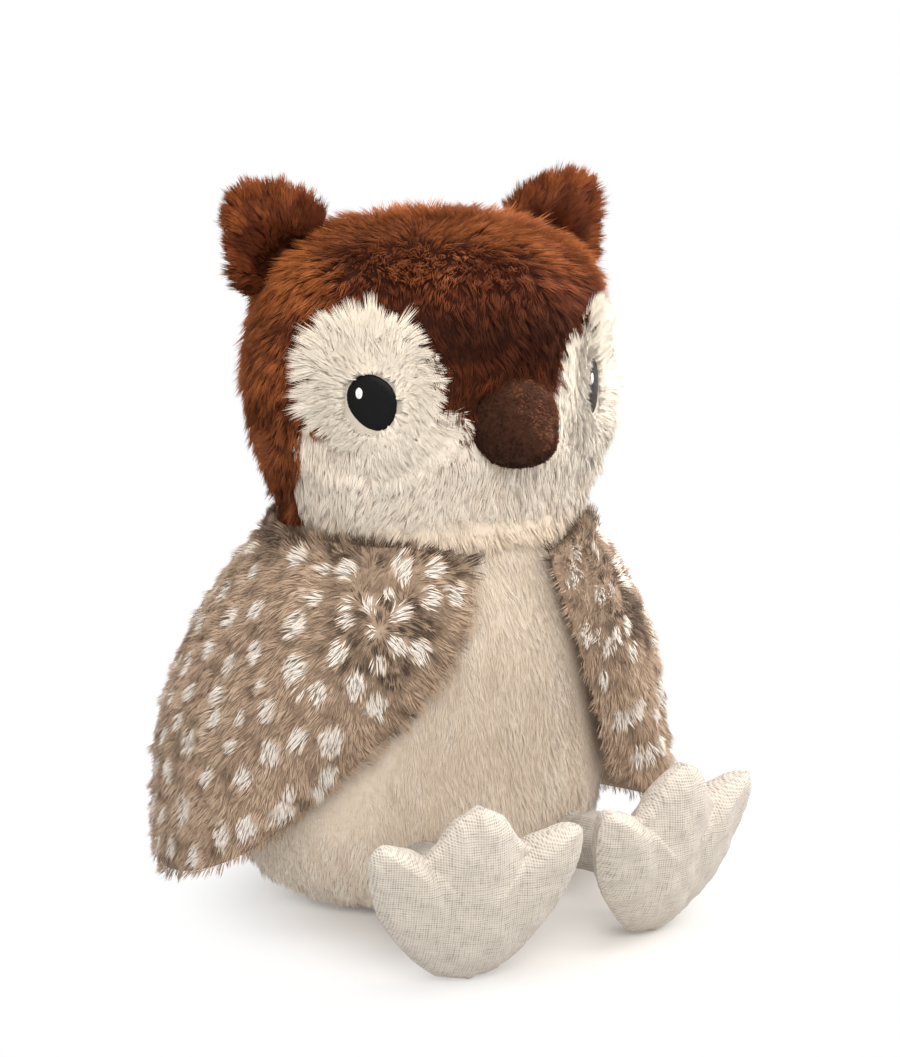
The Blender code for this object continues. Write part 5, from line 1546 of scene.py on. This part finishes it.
def make_floor():
    """A pale floor that takes the owl's shadow and fades into the white backdrop. The shade is partly real
    and partly painted: the shadow shows only on a darker patch round the feet, centred a little in front of
    the owl, and beyond it the floor glows plain white.
    """
    bpy.ops.object.select_all(action="DESELECT")
    bpy.ops.mesh.primitive_plane_add(size=30.0, location=(0.0, 0.0, 0.0))
    floor = bpy.context.object
    floor.name = "stage_floor"
    finish, nodes, links, shader = start_material("stage_white", 0.9)
    shader.inputs["Base Color"].default_value = (0.60, 0.575, 0.55, 1.0)
    shader.inputs["Emission Color"].default_value = (1.0, 0.98, 0.955, 1.0)
    shader.inputs["Emission Strength"].default_value = 0.10
    shader.inputs["Specular IOR Level"].default_value = 0.0
    where = nodes.new("ShaderNodeTexCoord")
    far = nodes.new("ShaderNodeVectorMath")
    far.operation = "LENGTH"
    shift = nodes.new("ShaderNodeVectorMath")
    shift.inputs[1].default_value = (-0.010, 0.040, 0.0)
    links.new(where.outputs["Object"], shift.inputs[0])
    links.new(shift.outputs["Vector"], far.inputs[0])
    # painted shadow: the patch where shade shows, from this distance out to white
    fade = nodes.new("ShaderNodeMapRange")
    fade.interpolation_type = "SMOOTHSTEP"
    fade.inputs["From Min"].default_value = 0.050
    fade.inputs["From Max"].default_value = 0.128
    links.new(far.outputs["Value"], fade.inputs["Value"])
    white = nodes.new("ShaderNodeEmission")
    either = nodes.new("ShaderNodeMixShader")
    links.new(fade.outputs["Result"], either.inputs["Fac"])
    links.new(shader.outputs["BSDF"], either.inputs[1])
    links.new(white.outputs["Emission"], either.inputs[2])
    links.new(either.outputs["Shader"], nodes["Material Output"].inputs["Surface"])
    floor.data.materials.append(finish)
    return floor


def make_camera():
    """The photograph's view, from a little above and to the owl's right."""
    azimuth, rise = CAMERA_AZIMUTH, CAMERA_RISE
    back = Vector((math.sin(azimuth) * math.cos(rise), -math.cos(azimuth) * math.cos(rise), math.sin(rise)))
    right = Vector((math.cos(azimuth), math.sin(azimuth), 0.0))
    up = back.cross(right)
    target = Vector(CAMERA_TARGET) + right * CAMERA_SHIFT[0] + up * CAMERA_SHIFT[1]
    data = bpy.data.cameras.new("camera")
    camera = bpy.data.objects.new("camera", data)
    bpy.context.scene.collection.objects.link(camera)
    pose = Matrix((right, up, back)).transposed().to_4x4()
    pose.translation = target + back * CAMERA_DISTANCE
    camera.matrix_world = pose
    data.sensor_fit = "VERTICAL"
    data.sensor_height = SENSOR_HEIGHT
    data.lens = CAMERA_FOCAL * SENSOR_HEIGHT
    bpy.context.scene.camera = camera


# The add-on


def make_stage():
    """The white backdrop, the floor, the lamps and the camera."""
    backdrop()
    floor = make_floor()
    lamps = [add_area(*lamp) for lamp in LAMPS]
    make_camera()
    bpy.context.scene.view_settings.view_transform = "Standard"


class OWL_OT_torso(bpy.types.Operator):
    """Make the stuffed body, the neck and the cream pile"""

    bl_idname = "owl.torso"
    bl_label = "Body"

    def execute(self, context):
        make_torso()
        grow_torso()
        return {"FINISHED"}


class OWL_OT_head(bpy.types.Operator):
    """Make the stuffed head and its brown, cream and white pile"""

    bl_idname = "owl.head"
    bl_label = "Head"

    def execute(self, context):
        make_head()
        grow_crown()
        grow_discs()
        grow_chin()
        return {"FINISHED"}


class OWL_OT_eyes(bpy.types.Operator):
    """Make the stitched eyes and their highlights"""

    bl_idname = "owl.eyes"
    bl_label = "Eyes"

    def execute(self, context):
        make_eyes()
        return {"FINISHED"}


class OWL_OT_beak(bpy.types.Operator):
    """Make the velour beak"""

    bl_idname = "owl.beak"
    bl_label = "Beak"

    def execute(self, context):
        make_beak()
        return {"FINISHED"}


class OWL_OT_ears(bpy.types.Operator):
    """Make both ears and their pile"""

    bl_idname = "owl.ears"
    bl_label = "Ears"

    def execute(self, context):
        make_ears()
        return {"FINISHED"}


class OWL_OT_wings(bpy.types.Operator):
    """Make both wings, their spotted pile and their lining"""

    bl_idname = "owl.wings"
    bl_label = "Wings"

    def execute(self, context):
        make_wings()
        return {"FINISHED"}


class OWL_OT_legs(bpy.types.Operator):
    """Make both linen legs"""

    bl_idname = "owl.legs"
    bl_label = "Legs"

    def execute(self, context):
        make_legs()
        return {"FINISHED"}


class OWL_OT_feet(bpy.types.Operator):
    """Make both linen feet"""

    bl_idname = "owl.feet"
    bl_label = "Feet"

    def execute(self, context):
        make_feet()
        return {"FINISHED"}


class OWL_OT_stage(bpy.types.Operator):
    """Make the floor, the lights and the camera"""

    bl_idname = "owl.stage"
    bl_label = "Stage"

    def execute(self, context):
        make_stage()
        return {"FINISHED"}


OPERATORS = (OWL_OT_torso, OWL_OT_head, OWL_OT_eyes, OWL_OT_beak, OWL_OT_ears, OWL_OT_wings, OWL_OT_legs,
             OWL_OT_feet, OWL_OT_stage)


class OWL_PT_panel(bpy.types.Panel):
    """The owl's sizes, colours and pieces."""

    bl_idname = "OWL_PT_panel"
    bl_label = "Plush Owl"
    bl_space_type = "VIEW_3D"
    bl_region_type = "UI"
    bl_category = "Owl"

    def draw(self, context):
        layout = self.layout
        for group in (context.scene.owl_sizes, context.scene.owl_colours):
            column = layout.column()
            for name in group.__annotations__:
                column.prop(group, name)
        for item in OPERATORS:
            layout.operator(item.bl_idname)


def register():
    for item in (OwlSizes, OwlColours) + OPERATORS + (OWL_PT_panel,):
        bpy.utils.register_class(item)
    bpy.types.Scene.owl_sizes = PointerProperty(type=OwlSizes)
    bpy.types.Scene.owl_colours = PointerProperty(type=OwlColours)


def unregister():
    del bpy.types.Scene.owl_colours
    del bpy.types.Scene.owl_sizes
    for item in reversed((OwlSizes, OwlColours) + OPERATORS + (OWL_PT_panel,)):
        bpy.utils.unregister_class(item)


def main():
    register()
    bpy.ops.owl.torso()
    bpy.ops.owl.head()
    bpy.ops.owl.eyes()
    bpy.ops.owl.beak()
    bpy.ops.owl.ears()
    bpy.ops.owl.wings()
    bpy.ops.owl.legs()
    bpy.ops.owl.feet()
    bpy.ops.owl.stage()


if __name__ == "__main__":
    main()
